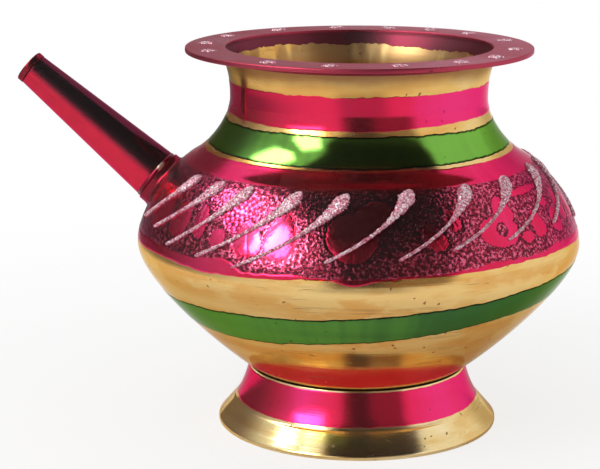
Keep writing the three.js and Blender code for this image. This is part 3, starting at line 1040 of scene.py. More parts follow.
@dataclass
class Assembly:
    """What every sub-assembly shares: its outline, the finishes made so far and how it is handed over."""

    outline: Outline
    made: dict[str, bpy.types.Material]

    def hand_over(self, piece: Piece, finish: Finish, slot: Slot, *nodes: str) -> None:
        """Dresses a piece, puts it on the pot's body and lets it stand for nodes of the frame.

        Args:
            piece: the finished object.
            finish: its finish.
            slot: the record's slot for it; not used.
            nodes: nodes that it stands for.
        """
        if finish.name not in self.made:
            self.made[finish.name] = finish.material(self.outline.axis_x * MM)
        piece.data.materials.clear()
        piece.data.materials.append(self.made[finish.name])
        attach(piece, BODY)
        if nodes:
            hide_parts(*nodes)
        LOG.info("%s: %d faces, %s", piece.name, len(piece.data.polygons), finish.name)


@dataclass(frozen=True)
class Leaf:
    """A chased leaf, left smooth: its middle, half its width and height, its tilt and how pointed it is."""

    u: float
    v: float
    half_width: float
    half_height: float
    tilt: float = 0.0
    point: float = 0.0

    def distance(self, u: Array, v: Array) -> tuple[Array, Array]:
        """Measures how far points lie outside the leaf.

        Args:
            u: distance round the pot.
            v: distance up the shoulder.

        Returns:
            The distance, negative inside, and the distance from the midrib.
        """
        cos, sin = heading(self.tilt)
        du, dv = u - self.u, v - self.v
        across = du * cos + dv * sin
        along = (-du * sin + dv * cos) / self.half_height
        narrowing = 1.0 - self.point * np.clip(along, -1.0, 1.0)
        reach = np.hypot(across / (self.half_width * narrowing), along)
        return (reach - 1.0) * min(self.half_width, self.half_height), across


@dataclass
class ChasedBelt:
    """The chased pattern round the shoulder: leaves and a rosette left smooth on a punched ground."""

    low: PaintedEdge
    high: float = 76.2
    repeats: int = 2
    width_per_degree: float = 1.012
    middle: float = 67.0
    first: float = -84.0
    ground_depth: float = 0.06
    pit_depth: float = 0.045
    pit_pitch: float = 0.94
    pit_radius: float = 0.34
    pit_rows: int = 64
    line_depth: float = 0.06
    rib_depth: float = 0.04
    leaf_depth: float = 0.08
    rosette_depth: float = 0.17
    scale_rise: float = 0.14
    border_depth: float = 0.1
    leaves: tuple[Leaf, ...] = tuple(Leaf(*row) for row in (
        (-72.0, -1.5, 4.2, 6.0, 20.0, 0.3), (-59.0, -1.0, 6.4, 6.2, 12.0, 0.1),
        (-47.0, -1.5, 4.4, 5.6, -8.0, 0.2), (-38.2, -0.8, 2.6, 5.2, 8.0, 0.2),
        (-30.4, -4.4, 2.6, 2.9, -20.0, 0.1), (-21.2, -3.2, 4.0, 5.2, 14.0, 0.35),
        (-12.0, -1.6, 4.2, 6.6, -6.0, 0.3), (6.8, -1.2, 7.0, 7.0, 0.0, -0.1), (12.0, 4.6, 6.4, 4.4, 24.0),
        (28.0, -1.5, 2.6, 4.6, 30.0, 0.3), (34.5, 2.6, 2.0, 3.6, 12.0, 0.3), (48.0, -2.2, 6.9, 4.4, -6.0),
        (51.6, 3.4, 3.6, 4.4, 0.0, 0.25), (57.4, -5.2, 2.6, 1.7), (63.6, -2.4, 3.0, 4.0, 6.0, 0.35),
        (65.5, 7.5, 9.6, 1.25, 2.0), (71.4, 2.8, 2.8, 1.9, -10.0), (74.0, -3.2, 3.2, 3.9, -14.0, 0.3),
        (81.5, 0.0, 3.0, 5.4, -6.0, 0.2), (90.0, -2.0, 3.6, 5.2, 12.0, 0.3),
    ))
    eyes: tuple[tuple[float, float, float], ...] = ((48.8, -1.8, 1.8), (-59.5, 0.4, 0.9), (74.0, -3.4, 1.0))
    # Patches of painted highlight where the window's reflection falls: u, v, reach round and reach up.
    painted_highlight: tuple[tuple[float, float, float, float], ...] = ((-17.0, -1.5, 7.0, 6.0), (-26.0, 4.0, 6.0, 6.0),
                                                           (-38.0, 6.5, 11.0, 4.5))
    rosette: tuple[float, float] = (-25.5, 3.4)
    boss_radius: float = 1.1
    rosette_rings: tuple[tuple[float, int], ...] = ((1.7, 6), (3.2, 11), (4.7, 16))
    scale_radius: float = 0.82

    def pits(self, u: Array, v: Array) -> Array:
        """Gives the depth share of the punch marks, which stand at random on a loose grid.

        Args:
            u: distance round the pot.
            v: distance up the shoulder.

        Returns:
            The depth, from 0 to 1.
        """
        columns, rows = round(360.0 * self.width_per_degree / self.pit_pitch), self.pit_rows
        pitch = 360.0 * self.width_per_degree / columns
        rng = np.random.default_rng(11)
        shift_u, shift_v = rng.uniform(0.08, 0.92, (2, rows, columns))
        force = rng.uniform(0.5, 1.0, (rows, columns))
        column, row = np.floor(u / pitch).astype(int), np.floor(v / pitch).astype(int)
        depth = np.zeros(np.broadcast(u, v).shape)
        for dr, dc in ((dr, dc) for dr in (-1, 0, 1) for dc in (-1, 0, 1)):
            r, c = (row + dr) % rows, (column + dc) % columns
            away = np.hypot(u - (column + dc + shift_u[r, c]) * pitch, v - (row + dr + shift_v[r, c]) * pitch)
            depth = np.maximum(depth, force[r, c] * (1.0 - smooth_step(away, 0.15, 1.75 * self.pit_radius)))
        return depth

    def rosette_height(self, u: Array, v: Array) -> tuple[Array, Array]:
        """Gives the height share of a rosette's boss and scales, and its distance outside the rosette.

        Args:
            u: distance round the pot from the rosette's middle.
            v: distance up from it.

        Returns:
            The height, from 0 to 1, and the distance, negative inside.
        """
        reach, turn = np.hypot(u, v), np.arctan2(v, u)
        height = dome(reach / self.boss_radius)
        for radius, count in self.rosette_rings:
            pitch = 2 * np.pi / count
            local = np.mod(turn + radius, pitch) - pitch / 2
            away = np.sqrt(np.maximum(reach**2 + radius**2 - 2 * reach * radius * np.cos(local), 0.0))
            height = np.maximum(height, dome(away / self.scale_radius))
        return height, reach - self.rosette_rings[-1][0] - self.scale_radius

    def smooth_parts(self, u: Array, v: Array) -> tuple[Array, Array]:
        """Measures how far points lie outside the smooth leaves.

        Args:
            u: distance round the pot from the middle of a pattern.
            v: distance up the shoulder.

        Returns:
            The distance, negative inside, and the distance from the midrib of the nearest leaf.
        """
        nearest, rib = np.full((2, *u.shape), 9.0)
        for leaf in self.leaves:
            away, across = leaf.distance(u, v)
            rib = np.where(away < nearest, np.abs(across), rib)
            nearest = np.minimum(nearest, away)
        for eye_u, eye_v, radius in self.eyes:
            nearest = np.maximum(nearest, radius - np.hypot(u - eye_u, v - eye_v))
        ragged = np.sin(2.3 * u + 1.7 * np.sin(1.1 * v)) * np.sin(2.9 * v + 1.3 * np.sin(0.9 * u))
        return nearest + 0.22 * ragged + 0.16 * np.sin(5.3 * u + 2.0) * np.sin(4.7 * v), rib

    def chased(self, outline: Outline, azimuth: Array, height: Array) -> tuple[Array, Marks]:
        """Works the chasing out.

        Args:
            outline: what it is chased into.
            azimuth: in radians.
            height: height on the outline.

        Returns:
            The depth under the outline, and by name the shares of ground, of painted shade in pits and
            grooves, and of pale lacquer, a painted highlight.
        """
        low = self.low.at(azimuth)
        belt = smooth_step(height - low, -0.12, 0.12) * smooth_step(self.high - height, -0.1, 0.15)
        u = np.broadcast_to(np.degrees(azimuth) % 360.0 * self.width_per_degree, height.shape)
        v = outline.arc_at(height) - outline.arc_at(self.middle)
        pits = self.pits(u, v)
        local = np.mod(u - self.first, 360.0 / self.repeats * self.width_per_degree) + self.first
        nearest, rib = self.smooth_parts(local, v)
        scales, away = self.rosette_height(local - self.rosette[0], v - self.rosette[1])
        leaf = smooth_step(-nearest, -0.05, 0.25)
        rosette = smooth_step(-away, -0.1, 0.3) * (1.0 - leaf)
        bare = (1.0 - leaf) * (1.0 - rosette)
        depth = (self.ground_depth + self.pit_depth * pits) * bare
        depth += self.leaf_depth * (1.0 - smooth_step(-nearest, 0.0, 2.4)) * leaf
        depth += (self.rosette_depth - self.scale_rise * scales) * rosette
        depth += self.line_depth * mound(nearest, 0.25) + self.rib_depth * mound(rib, 0.3) * leaf
        depth = np.clip(depth * belt + self.border_depth * mound(height - low, 0.25), 0.0, 0.6)
        # Painted shade: in the punches, in the groove round each leaf and between the rosette's scales.
        dark = np.maximum(pits * bare, 0.95 * mound(nearest, 0.3))
        dark = np.maximum(dark, (1.0 - smooth_step(scales, 0.05, 0.55)) * rosette) * belt
        # Painted highlight on leaves, rosette and ground in the patches that face the window.
        painted_highlight = np.zeros(local.shape)
        for place, rise, reach, tall in self.painted_highlight:
            painted_highlight = np.maximum(painted_highlight, mound(local - place, reach) * mound(v - rise, tall))
        share = leaf * (1.0 - mound(nearest, 0.4)) + 0.8 * rosette * scales + 0.7 * bare
        return depth, {"ground": belt * bare, "pit_shade": dark, "pale": np.clip(painted_highlight * share * belt, 0.0, 1.0)}


@dataclass
class Film:
    """A painted band: a thin closed skin of lacquer between two hand-laid edges."""

    name: str
    low: PaintedEdge
    high: PaintedEdge
    deep: PaintedEdge
    rows: int = 48
    turns: int = 480
    bead: float = 0.3

    def build(self, outline: Outline, belt: ChasedBelt | None = None,
              base: Callable[[Array, Array], Array] | None = None) -> Piece:
        """Builds the film on an outline.

        Args:
            outline: what it is painted on.
            belt: the chasing in it.
            base: gives how deep the brass lies under it, by azimuth and height.

        Returns:
            The object. Its vertices keep "edge", the distance from the film's nearest edge in millimetres,
            "deep", how thick the colour lies, partly painted shade on the pink bands, and the belt's marks.
        """
        azimuth = all_round(self.turns)
        low, high = (outline.arc_at(edge.at(azimuth)) for edge in (self.low, self.high))
        spread = rows_of(self.rows + 1)
        if belt is None:
            spread = 0.5 - 0.5 * np.cos(np.pi * spread)
        arc = low + (high - low) * spread
        height = outline.height_at(arc)
        edge = np.minimum(arc - low, high - arc)
        depth, marks = belt.chased(outline, azimuth, height) if belt else (height * 0.0, {})
        depth = COAT + (depth - COAT) * np.sqrt(np.clip(edge / self.bead, 0.0, 1.0))
        under = outline.height_at(high + (low - high) * rows_of(max(4, self.rows // 6) + 1))
        back = outline.spots(azimuth, under, (base(azimuth, under) if base else COAT) + FILM)
        marks |= {"edge": edge, "deep": self.deep.at(azimuth)}
        return Shape.skin(self.name, outline.spots(azimuth, height, depth), back, marks)


PINK_LOW = PaintedEdge(
    ((-68, 54.6), (-51, 55.2), (-33, 54.4), (-21, 54.7), (-9, 55.4), (-4, 56.0), (2, 56.0), (5, 54.4),
     (9, 54.2), (12, 55.7), (17, 56.1), (24, 56.3), (35, 56.5), (51, 56.8), (69, 56.8), (84, 56.0),
     (130, 55.2), (180, 54.6), (230, 55.6), (265, 54.6)), seed=3, ease=1.6)
BELT_LOW = PaintedEdge(
    ((-60, 57.9), (-42, 57.4), (-35, 57.1), (-31, 58.3), (-27, 58.7), (-23, 57.6), (-21, 56.3), (-6, 56.8),
     (8, 55.9), (22, 56.6), (35, 57.3), (42, 58.2), (51, 58.2), (57, 57.7), (70, 58.7), (110, 57.4),
     (150, 56.6), (175, 58.2), (200, 56.4), (240, 57.2), (275, 57.0)), 0.22, 4, 1.2)
PINK_HIGH = PaintedEdge(((8, 80.1), (98, 80.0), (188, 80.15), (278, 80.0)), 0.05, 5)
# Shoulder colour by azimuth: magenta where the window's reflection falls, crimson elsewhere; partly painted
# highlight and shade.
SHOULDER_DEPTH_AND_SHADE = PaintedEdge(((-52, 0.7), (-42, 0.2), (-28, 0.15), (-18, 0.8), (20, 0.75), (48, 0.45),
                             (78, 0.3), (180, 0.6)), 0.05, 15, 4.0)
LOWER_GREEN_BAND = Film(
    "lower_green_band",
    PaintedEdge(((-90, 33.0), (-27, 33.9), (8, 36.4), (50, 40.8), (90, 42.2), (150, 40.0), (210, 35.6)),
                 0.12, 12, 9.0),
    PaintedEdge(((-90, 40.8), (-62, 41.4), (-39, 42.6), (8, 44.9), (55, 49.0), (90, 50.2), (150, 48.0),
                 (210, 43.6)), 0.12, 13, 9.0),
    PaintedEdge(((-60, 0.2), (0, 0.15), (14, 0.45), (40, 0.7), (60, 0.6), (180, 0.3)), 0.05, 18, 4.0))
UPPER_GREEN_BAND = Film(
    "upper_green_band",
    PaintedEdge(((-60, 81.0), (-20, 80.6), (8, 80.5), (40, 80.7), (75, 81.1), (180, 80.8)), 0.07, 6),
    PaintedEdge(((-60, 88.2), (8, 88.3), (60, 88.0), (120, 88.3), (220, 88.5)), 0.1, 7),
    PaintedEdge(((-60, 0.5), (8, 0.1), (60, 0.0), (180, 0.2)), 0.05, 17, 4.0))
NECK_PINK_BAND = Film(
    "neck_pink_band",
    PaintedEdge(((-70, 89.9), (-30, 89.5), (8, 89.4), (45, 90.1), (70, 90.5), (180, 89.7)), 0.08, 8),
    PaintedEdge(((-70, 98.5), (8, 98.4), (60, 98.6), (180, 98.3)), 0.12, 9),
    # Crimson on the left and middle, magenta on the right: partly painted shade and highlight.
    PaintedEdge(((-75, 0.9), (-35, 0.8), (-5, 0.75), (25, 0.7), (42, 0.15), (90, 0.1), (180, 0.5)),
                 0.05, 14, 4.0))


@dataclass
class Body(Assembly):
    """Bowl and shell of thin brass, with the painted bands that lie on them."""

    bowl_turns: int = 300
    shell_turns: int = 360
    row_step: float = 0.5
    chase_depth: float = 0.72

    def shell_depth(self, azimuth: Array, height: Array) -> Array:
        """Gives how far the brass lies under the outline; it is pushed in under the chased belt.

        Args:
            azimuth: in radians.
            height: height on the outline.

        Returns:
            The depth.
        """
        above = smooth_step(height - BELT_LOW.at(azimuth), -0.45, -0.1)
        below = smooth_step(ChasedBelt.high - height, -0.6, -0.2)
        return COAT + (self.chase_depth - COAT) * above * below

    def bowl(self) -> Piece:
        """Turns the bowl: closed bottom, belly and its upper edge at the seam.

        Returns:
            The bowl.
        """
        line = self.outline
        outer = line.inset(COAT, line.bottom_height, line.seam, self.row_step)
        inner = line.inset(line.wall, line.bottom_height + line.wall, line.seam, self.row_step)
        outer[0, 0] = inner[0, 0] = 0.0
        return line.axis.turn("brass_bowl", np.concatenate([outer, inner[::-1]]), self.bowl_turns)

    def shell(self, drill: Piece) -> Piece:
        """Builds the shoulder and neck, pierced for the spout.

        Args:
            drill: a body of the hole's shape, used up here.

        Returns:
            The pierced shell.
        """
        line, azimuth = self.outline, all_round(self.shell_turns)
        first, last = line.arc_at(line.seam), line.arc_at(line.rim_under)
        height = line.height_at(first + (last - first) * rows_of(math.ceil((last - first) / self.row_step)))
        outer = line.spots(azimuth, height, self.shell_depth(azimuth, height))
        back = line.inset(line.wall, line.seam, line.rim_under, self.row_step)[::-1]
        inner = line.axis.spots(back[:, 0], azimuth, back[:, 1])
        piece = Shape.hoop("brass_shell", np.concatenate([outer, inner], axis=1))
        cut = piece.modifiers.new("spout_hole", "BOOLEAN")
        cut.operation, cut.solver, cut.object = "DIFFERENCE", "EXACT", drill
        bpy.context.view_layer.update()
        cut_mesh = bpy.data.meshes.new_from_object(piece.evaluated_get(bpy.context.evaluated_depsgraph_get()))
        piece.modifiers.clear()
        piece.data = cut_mesh
        cut_mesh.name = piece.name
        bpy.data.objects.remove(drill)
        return piece

    def build(self, drill: Piece) -> None:
        """Builds the brass and its bands.

        Args:
            drill: a body of the shape of the spout's hole, used up here.
        """
        line = self.outline
        self.hand_over(self.bowl(), BELLY_BRASS, Slot.BRASS, "lower_bowl")
        self.hand_over(self.shell(drill), NECK_BRASS, Slot.BRASS, "upper_shell")
        shoulder = Film("shoulder_lacquer", PINK_LOW, PINK_HIGH, SHOULDER_DEPTH_AND_SHADE, rows=128, turns=1440)
        self.hand_over(shoulder.build(line, ChasedBelt(BELT_LOW), self.shell_depth), CHASED, Slot.PINK)
        self.hand_over(LOWER_GREEN_BAND.build(line), LOWER_GREEN, Slot.GREEN)
        self.hand_over(UPPER_GREEN_BAND.build(line), UPPER_GREEN, Slot.GREEN)
        self.hand_over(NECK_PINK_BAND.build(line), NECK_PINK, Slot.PINK)


@dataclass
class Rim(Assembly):
    """The flat rim, its braze and the lacquer that wraps its top, its edge and the mouth's upper inside."""

    turns: int = 480
    edge_round: float = 0.35
    braze_leg: float = 2.0
    braze_hollow: tuple[float, float] = (0.25, 0.35)
    braze_turns: int = 360
    mouth_low: float = 95.0
    mouth_rows: int = 16
    # how deep the colour lies inside the mouth: painted shade
    mouth_painted_shade: float = 1.2
    paint_round: float = 0.3
    paint_hem: float = 0.6
    paint_back: float = 0.12
    paint_inset: float = 0.15
    skin: float = 0.06
    far_from_edge: float = 5.0
    mouth_paint: PaintedEdge = PaintedEdge(
        ((-100, 103.9), (-40, 103.2), (8, 103.6), (60, 103.9), (110, 103.2), (150, 102.8), (180, 103.3),
         (215, 103.9)), 0.25, 21, 2.5)

    def plate(self) -> Piece:
        """Turns the brass plate of the rim.

        Returns:
            The plate.
        """
        line = self.outline
        low, high = line.rim_under, line.rim_top - COAT
        inner, outer = line.mouth_radius + COAT, line.rim_radius - COAT
        corners = ((inner, low), (outer, low, self.edge_round), (outer, high, self.edge_round),
                   (inner, high, self.edge_round))
        return line.axis.turn("rim_plate", refined(rounded(corners), 0.8), self.turns)

    def braze(self) -> Piece:
        """Turns the hollow fillet of braze under the rim.

        Returns:
            The fillet.
        """
        line = self.outline
        neck = line.inset(COAT, line.rim_under - self.braze_leg, line.rim_under, 0.15)
        toe = np.array([neck[-1, 0] + self.braze_leg, line.rim_under])
        hollow = np.array([neck[-1, 0] + self.braze_hollow[0], line.rim_under - self.braze_hollow[1]])
        face = bend(neck[0] + [0.12, 0.0], hollow, toe, 12)
        return line.axis.turn("rim_braze_fillet", np.concatenate([face, neck[::-1]]), self.braze_turns)

    def lacquer(self) -> Piece:
        """Builds the rim's lacquer as one film from inside the mouth over the rim to its lower edge.

        Returns:
            The film.
        """
        line, azimuth = self.outline, all_round(self.turns)
        start, share = self.mouth_paint.at(azimuth), rows_of(self.mouth_rows)
        mouth = line.inset(line.wall, self.mouth_low, line.rim_under, 0.3)
        rise = start + (line.rim_under - start) * share
        wall = np.interp(rise, mouth[:, 1], mouth[:, 0])
        inner, outer, low, high = line.mouth_radius, line.rim_radius, line.rim_under, line.rim_top
        corners = ((inner, high, self.paint_round), (outer, high, self.edge_round),
                   (outer, low, self.paint_round), (outer - self.paint_hem, low), (inner, low))
        face = refined(rounded(corners), 0.35)
        hem = (face[:, 1] <= low + 1e-6) & (face[:, 0] < outer - 0.5)
        face = np.broadcast_to(face[: np.argmax(hem) + 1], (self.turns, np.argmax(hem) + 1, 2))
        face_r = np.concatenate([wall - self.skin * np.sqrt(share), face[..., 0]], axis=1)
        face_z = np.concatenate([rise, face[..., 1]], axis=1)
        under = np.clip(face[..., 0], inner + self.paint_inset, outer - self.paint_inset)
        back_r = np.concatenate([wall + self.paint_back, under], axis=1)
        back_z = np.concatenate([rise, np.clip(face[..., 1], low + FILM, high - self.paint_inset)], axis=1)
        flat = face[..., 0] * 0.0
        # Inside the mouth the colour lies deep, as painted shade.
        marks = {"edge": np.concatenate([rise - start, flat + self.far_from_edge], axis=1),
                 "deep": np.concatenate([rise * 0.0 + self.mouth_painted_shade, flat], axis=1)}
        back = line.axis.spots(back_r[:, ::-1], azimuth, back_z[:, ::-1])
        return Shape.skin("rim_lacquer", line.axis.spots(face_r, azimuth, face_z), back, marks)

    def build(self) -> None:
        """Builds the rim."""
        self.hand_over(self.plate(), RIM_MAROON_AND_SHADE, Slot.BRASS, "rim_ring")
        self.hand_over(self.braze(), RIM_MAROON_AND_SHADE, Slot.BRAZE, "rim_braze")
        self.hand_over(self.lacquer(), RIM_PINK, Slot.PINK)


@dataclass
class Foot(Assembly):
    """The flared foot, its pink band and the braze behind its top edge."""

    turns: int = 480
    radius: float = 39.9
    edge_height: float = 1.0
    ridge_inset: float = 4.5
    ridge_height: float = 6.2
    ridge_step: float = 0.35
    wall: float = 1.3
    seat_width: float = 2.2
    flare_below: float = 125.0
    flare_above: float = 103.0
    flare_ease: float = 3.5
    gap: float = 0.3
    bead: float = 0.3
    band_rows: int = 44
    braze_turns: int = 240
    pink_low: PaintedEdge = PaintedEdge(((-80, 7.3), (-30, 7.2), (8, 7.5), (60, 7.3), (140, 7.5), (220, 7.2)),
                                         0.07, 31)
    pink_high: PaintedEdge = PaintedEdge(((-80, 16.2), (8, 16.35), (90, 16.25), (200, 16.3)), 0.05, 32)
    # thin magenta where the highlights fall, crimson elsewhere: partly painted highlight and shade
    pink_depth_and_shade: PaintedEdge = PaintedEdge(((-60, 0.8), (-34, 0.7), (-24, 0.1), (-12, 0.2), (-4, 0.75),
                                          (25, 0.7), (45, 0.1), (90, 0.2), (180, 0.5)), 0.05, 16, 4.0)

    def flare(self) -> Array:
        """Lays out the foot's outside from the table to its top edge.

        Returns:
            Points (r, z).
        """
        ridge = np.array([self.radius - self.ridge_inset, self.ridge_height])
        groove = ridge + np.array([-self.ridge_step, self.ridge_step])
        upper = curve(groove, self.flare_below, (self.flare_ease, self.flare_ease), self.flare_above,
                      self.under_bowl(self.outline.joint[0]))
        return np.concatenate([[[self.radius, 0.0], [self.radius, self.edge_height], ridge], upper])

    def under_bowl(self, radius: float) -> Array:
        """Gives the point under the bowl, a gap below it, at a radius.

        Args:
            radius: the radius.

        Returns:
            The point, (r, z).
        """
        moved = self.outline.run + self.gap * self.outline.normals
        low = moved[: np.argmax(moved[:, 0] > radius + 1.0) + 1]
        return np.array([radius, np.interp(radius, low[:, 0], low[:, 1])])

    def casting(self) -> Piece:
        """Turns the brass foot.

        Returns:
            The foot.
        """
        outside = self.flare()
        ridge_r, ridge_z = outside[2]
        upper = outside[3:] - [COAT, 0.0]
        inner = outside[3:-12:12] - [self.wall, 0.3]
        corners = [
            (self.radius, 0.0, 0.25), (self.radius, self.edge_height, 0.3), (ridge_r, ridge_z, 0.16),
            *upper[:-1:4], (*upper[-1], 0.25), (*self.under_bowl(self.outline.joint[0] - self.wall), 0.25),
            *inner[::-1], (ridge_r - self.wall - 0.1, ridge_z - 0.8),
            (self.radius - self.seat_width, 0.0, 0.2),
        ]
        return self.outline.axis.turn("foot_casting", refined(rounded(corners), 0.5), self.turns)

    def band(self) -> Piece:
        """Builds the pink film on the flare.

        Returns:
            The film.
        """
        azimuth, spots = all_round(self.turns), self.outline.axis.spots
        low, high = self.pink_low.at(azimuth), self.pink_high.at(azimuth)
        height = low + (high - low) * (0.5 - 0.5 * np.cos(np.pi * rows_of(self.band_rows + 1)))
        flare = self.flare()[3:]
        radius = np.interp(height, flare[:, 1], flare[:, 0])
        edge = np.minimum(height - low, high - height)
        lift = COAT * (1.0 - np.sqrt(np.clip(edge / self.bead, 0.0, 1.0)))
        back = spots((radius - COAT - FILM)[:, ::-1], azimuth, height[:, ::-1])
        marks = {"edge": edge, "deep": self.pink_depth_and_shade.at(azimuth)}
        return Shape.skin("foot_pink_band", spots(radius - lift, azimuth, height), back, marks)

    def braze(self) -> Piece:
        """Turns the ring of braze between the foot's inner wall and the bowl.

        Returns:
            The ring.
        """
        most = self.outline.joint[0] - self.wall - self.gap
        heel, lip = self.under_bowl(most - 2.0), self.under_bowl(most)
        corners = ((lip[0], lip[1] - 2.0, 0.3), (*lip, 0.1), (*heel, 0.2))
        return self.outline.axis.turn("foot_braze_ring", refined(rounded(corners), 0.4), self.braze_turns)

    def build(self) -> None:
        """Builds the foot."""
        bare = (self.outline.axis_x, -30.0, 12.0)
        filler = Filler("foot_braze", (0.3, 0.17, 0.07), (0.12, 0.05, 0.02), bare, 12.0)
        self.hand_over(self.casting(), FOOT_BRASS, Slot.BRASS, "foot_ring")
        self.hand_over(self.band(), FOOT_PINK, Slot.PINK)
        self.hand_over(self.braze(), filler, Slot.BRAZE, "foot_braze")


@dataclass
class Spout(Assembly):
    """The straight tapered spout with its coped root collar, its solder and the band round its mouth."""

    rise: float = 39.5
    root_drop: float = 9.5
    length: float = 50.8
    base_radius: float = 7.6
    mouth_radius: float = 4.6
    wall: float = 0.9
    collar_length: float = 2.0
    collar_proud: float = 0.5
    collar_spread: float = 0.9
    collar_rows: int = 20
    bore_rows: int = 8
    solder_width: float = 0.9
    solder_proud: float = 0.2
    ring_length: float = 2.0
    ring_proud: float = 0.25
    gap: float = 0.3
    turns: int = 144
    drill_reach: float = 9.0
    drill_turns: int = 96
    search: tuple[float, float, int] = (-16.0, 6.0, 40)

    def __post_init__(self) -> None:
        """Sets the spout's axis on the shoulder."""
        root_height = self.outline.shoulder_height - self.root_drop
        reach = self.outline.section(root_height, 0.0)[0]
        cos, sin = heading(self.rise)
        root = np.array([self.outline.axis_x - reach, 0.0, root_height])
        self.axis = Axis(root, np.array([-cos, 0.0, sin]), FRONT)

    def radius_at(self, along: float) -> float:
        """Gives the tube's outer radius at a distance from the root."""
        taper = (self.base_radius - self.mouth_radius) / (self.length - self.collar_length)
        return self.base_radius - taper * (along - self.collar_length)

    def bore_at(self, along: float) -> float:
        """Gives the bore's radius at a distance from the root."""
        return self.radius_at(along) - self.wall

    def turned(self, name: str, corners: Sequence[Sequence[float]], step: float) -> Piece:
        """Turns a piece of the spout from its outline's corners."""
        return self.axis.turn(name, refined(rounded(corners), step), self.turns)

    def drill(self) -> Piece:
        """Makes the body that pierces the shell for the bore.

        Returns:
            The body.
        """
        radius, reach = self.bore_at(self.collar_length), self.drill_reach
        outline = np.array([[0.0, -reach], [radius, -reach], [radius, reach], [0.0, reach]])
        return self.axis.turn("spout_drill", outline, self.drill_turns)

    def tube(self) -> Piece:
        """Turns the tapered tube.

        Returns:
            The tube.
        """
        low, high = self.collar_length + self.solder_width + self.gap, self.length - self.ring_length
        corners = ((self.bore_at(low), low), (self.radius_at(low), low, 0.2),
                   (self.radius_at(high), high, 0.18), (self.bore_at(high), high))
        return self.turned("spout_barrel", corners, 0.6)

    def cope(self, radius: Array, azimuth: Array) -> Array:
        """Finds where lines along the spout meet the shoulder, as distances from the root.

        Args:
            radius: the lines' distance from the spout's axis.
            azimuth: their angle about it, in radians.

        Returns:
            The distances.
        """
        radius, azimuth = np.broadcast_arrays(radius, azimuth)
        low, high = (np.full(radius.shape, end) for end in self.search[:2])
        for _ in range(self.search[2]):
            middle = (low + high) / 2
            spot = self.axis.spots(radius, azimuth, middle)
            wide = np.hypot(spot[..., 0] - self.outline.axis_x, spot[..., 1])
            outside = wide > self.outline.section(spot[..., 2], 0.0)[0]
            low, high = np.where(outside, low, middle), np.where(outside, middle, high)
        return (low + high) / 2

    def collar(self) -> Piece:
        """Builds the collar, which spreads in a small fillet where it meets the shoulder.

        Returns:
            The collar.
        """
        azimuth, top = all_round(self.turns), self.collar_length
        bore, side = self.bore_at(top), self.base_radius + self.collar_proud
        share = rows_of(self.collar_rows)
        radius = side + self.collar_spread * (1.0 - share) ** 4
        root = self.cope(radius, azimuth) - 0.05
        along = root + (top - 0.2 - root) * share**1.4
        face_r = np.array([side, side - 0.06, side - 0.2, (side + bore) / 2, bore])
        face_a = np.array([-0.1, -0.03, 0.0, 0.0, 0.0]) + top
        down = rows_of(self.bore_rows)[:, 1:]
        hole = top + (self.cope(bore + down * 0, azimuth) - top) * down
        shape = (self.turns, face_a.size)
        r = np.concatenate([radius[0], face_r, bore + down[0] * 0])
        a = np.concatenate([along, np.broadcast_to(face_a, shape), hole], axis=1)
        return Shape.hoop("spout_collar", self.axis.spots(r, azimuth, a))

    def solder(self) -> Piece:
        """Turns the bead of solder between collar and tube.

        Returns:
            The bead.
        """
        low, high = self.collar_length, self.collar_length + self.solder_width + self.gap
        side, bore = self.radius_at(low), self.bore_at(low)
        corners = ((bore, low), (side - 0.1, low), (side + self.solder_proud, (low + high) / 2, 0.5),
                   (side - 0.1, high), (bore, high))
        return self.turned("spout_solder_bead", corners, 0.3)

    def mouth_band(self) -> Piece:
        """Turns the band round the mouth.

        Returns:
            The band.
        """
        low, high = self.length - self.ring_length + self.gap / 2, self.length
        side, bore = self.mouth_radius + self.ring_proud, self.bore_at(high)
        corners = ((bore, low), (side, low, 0.15), (side, high, 0.5), (bore, high, 0.25))
        return self.turned("spout_mouth_band", corners, 0.25)

    def build(self) -> None:
        """Builds the spout."""
        patch = self.axis.spots(self.base_radius, math.radians(38.0), 2.5)
        filler = Filler("spout_solder", (0.8, 0.62, 0.5), (0.2, 0.012, 0.03), tuple(patch), 3.0)
        self.hand_over(self.tube(), MAROON, Slot.MAROON, "spout_tube")
        self.hand_over(self.collar(), ROOT_MAROON, Slot.MAROON, "spout_root_collar")
        self.hand_over(self.solder(), filler, Slot.SOLDER, "spout_solder_ring")
        self.hand_over(self.mouth_band(), ROOT_MAROON, Slot.MAROON, "spout_mouth_ring")


@dataclass(frozen=True)
class Stroke:
    """One stroke of paste: its head's azimuth, the sweep to its tail, how far down that comes, and a lift."""

    head: float
    sweep: float
    drop: float
    lift: float = 0.0


STROKES = tuple(Stroke(*values) for values in (
    (-50, 20.5, 0.7), (-37, 21, 0.71), (-25.5, 22.5, 0.84), (-9, 26.5, 0.87), (5, 28.5, 0.92),
    (24, 24, 0.77, 0.7), (43, 25, 0.74, 0.8), (61, 29, 0.67, 1.0), (83, 34, 0.65, 1.3), (99, 29, 0.6, 0.6),
    (117, 24, 0.74), (135, 26, 0.79), (152, 23, 0.71), (170, 25, 0.79), (188, 24, 0.74), (206, 26, 0.81),
    (223, 23, 0.71), (241, 25, 0.76),
))
DABS = (-163, -138, -110, -87, -64, -25, -2, 22, 46, 65, 88, 115, 140, 158, 176)


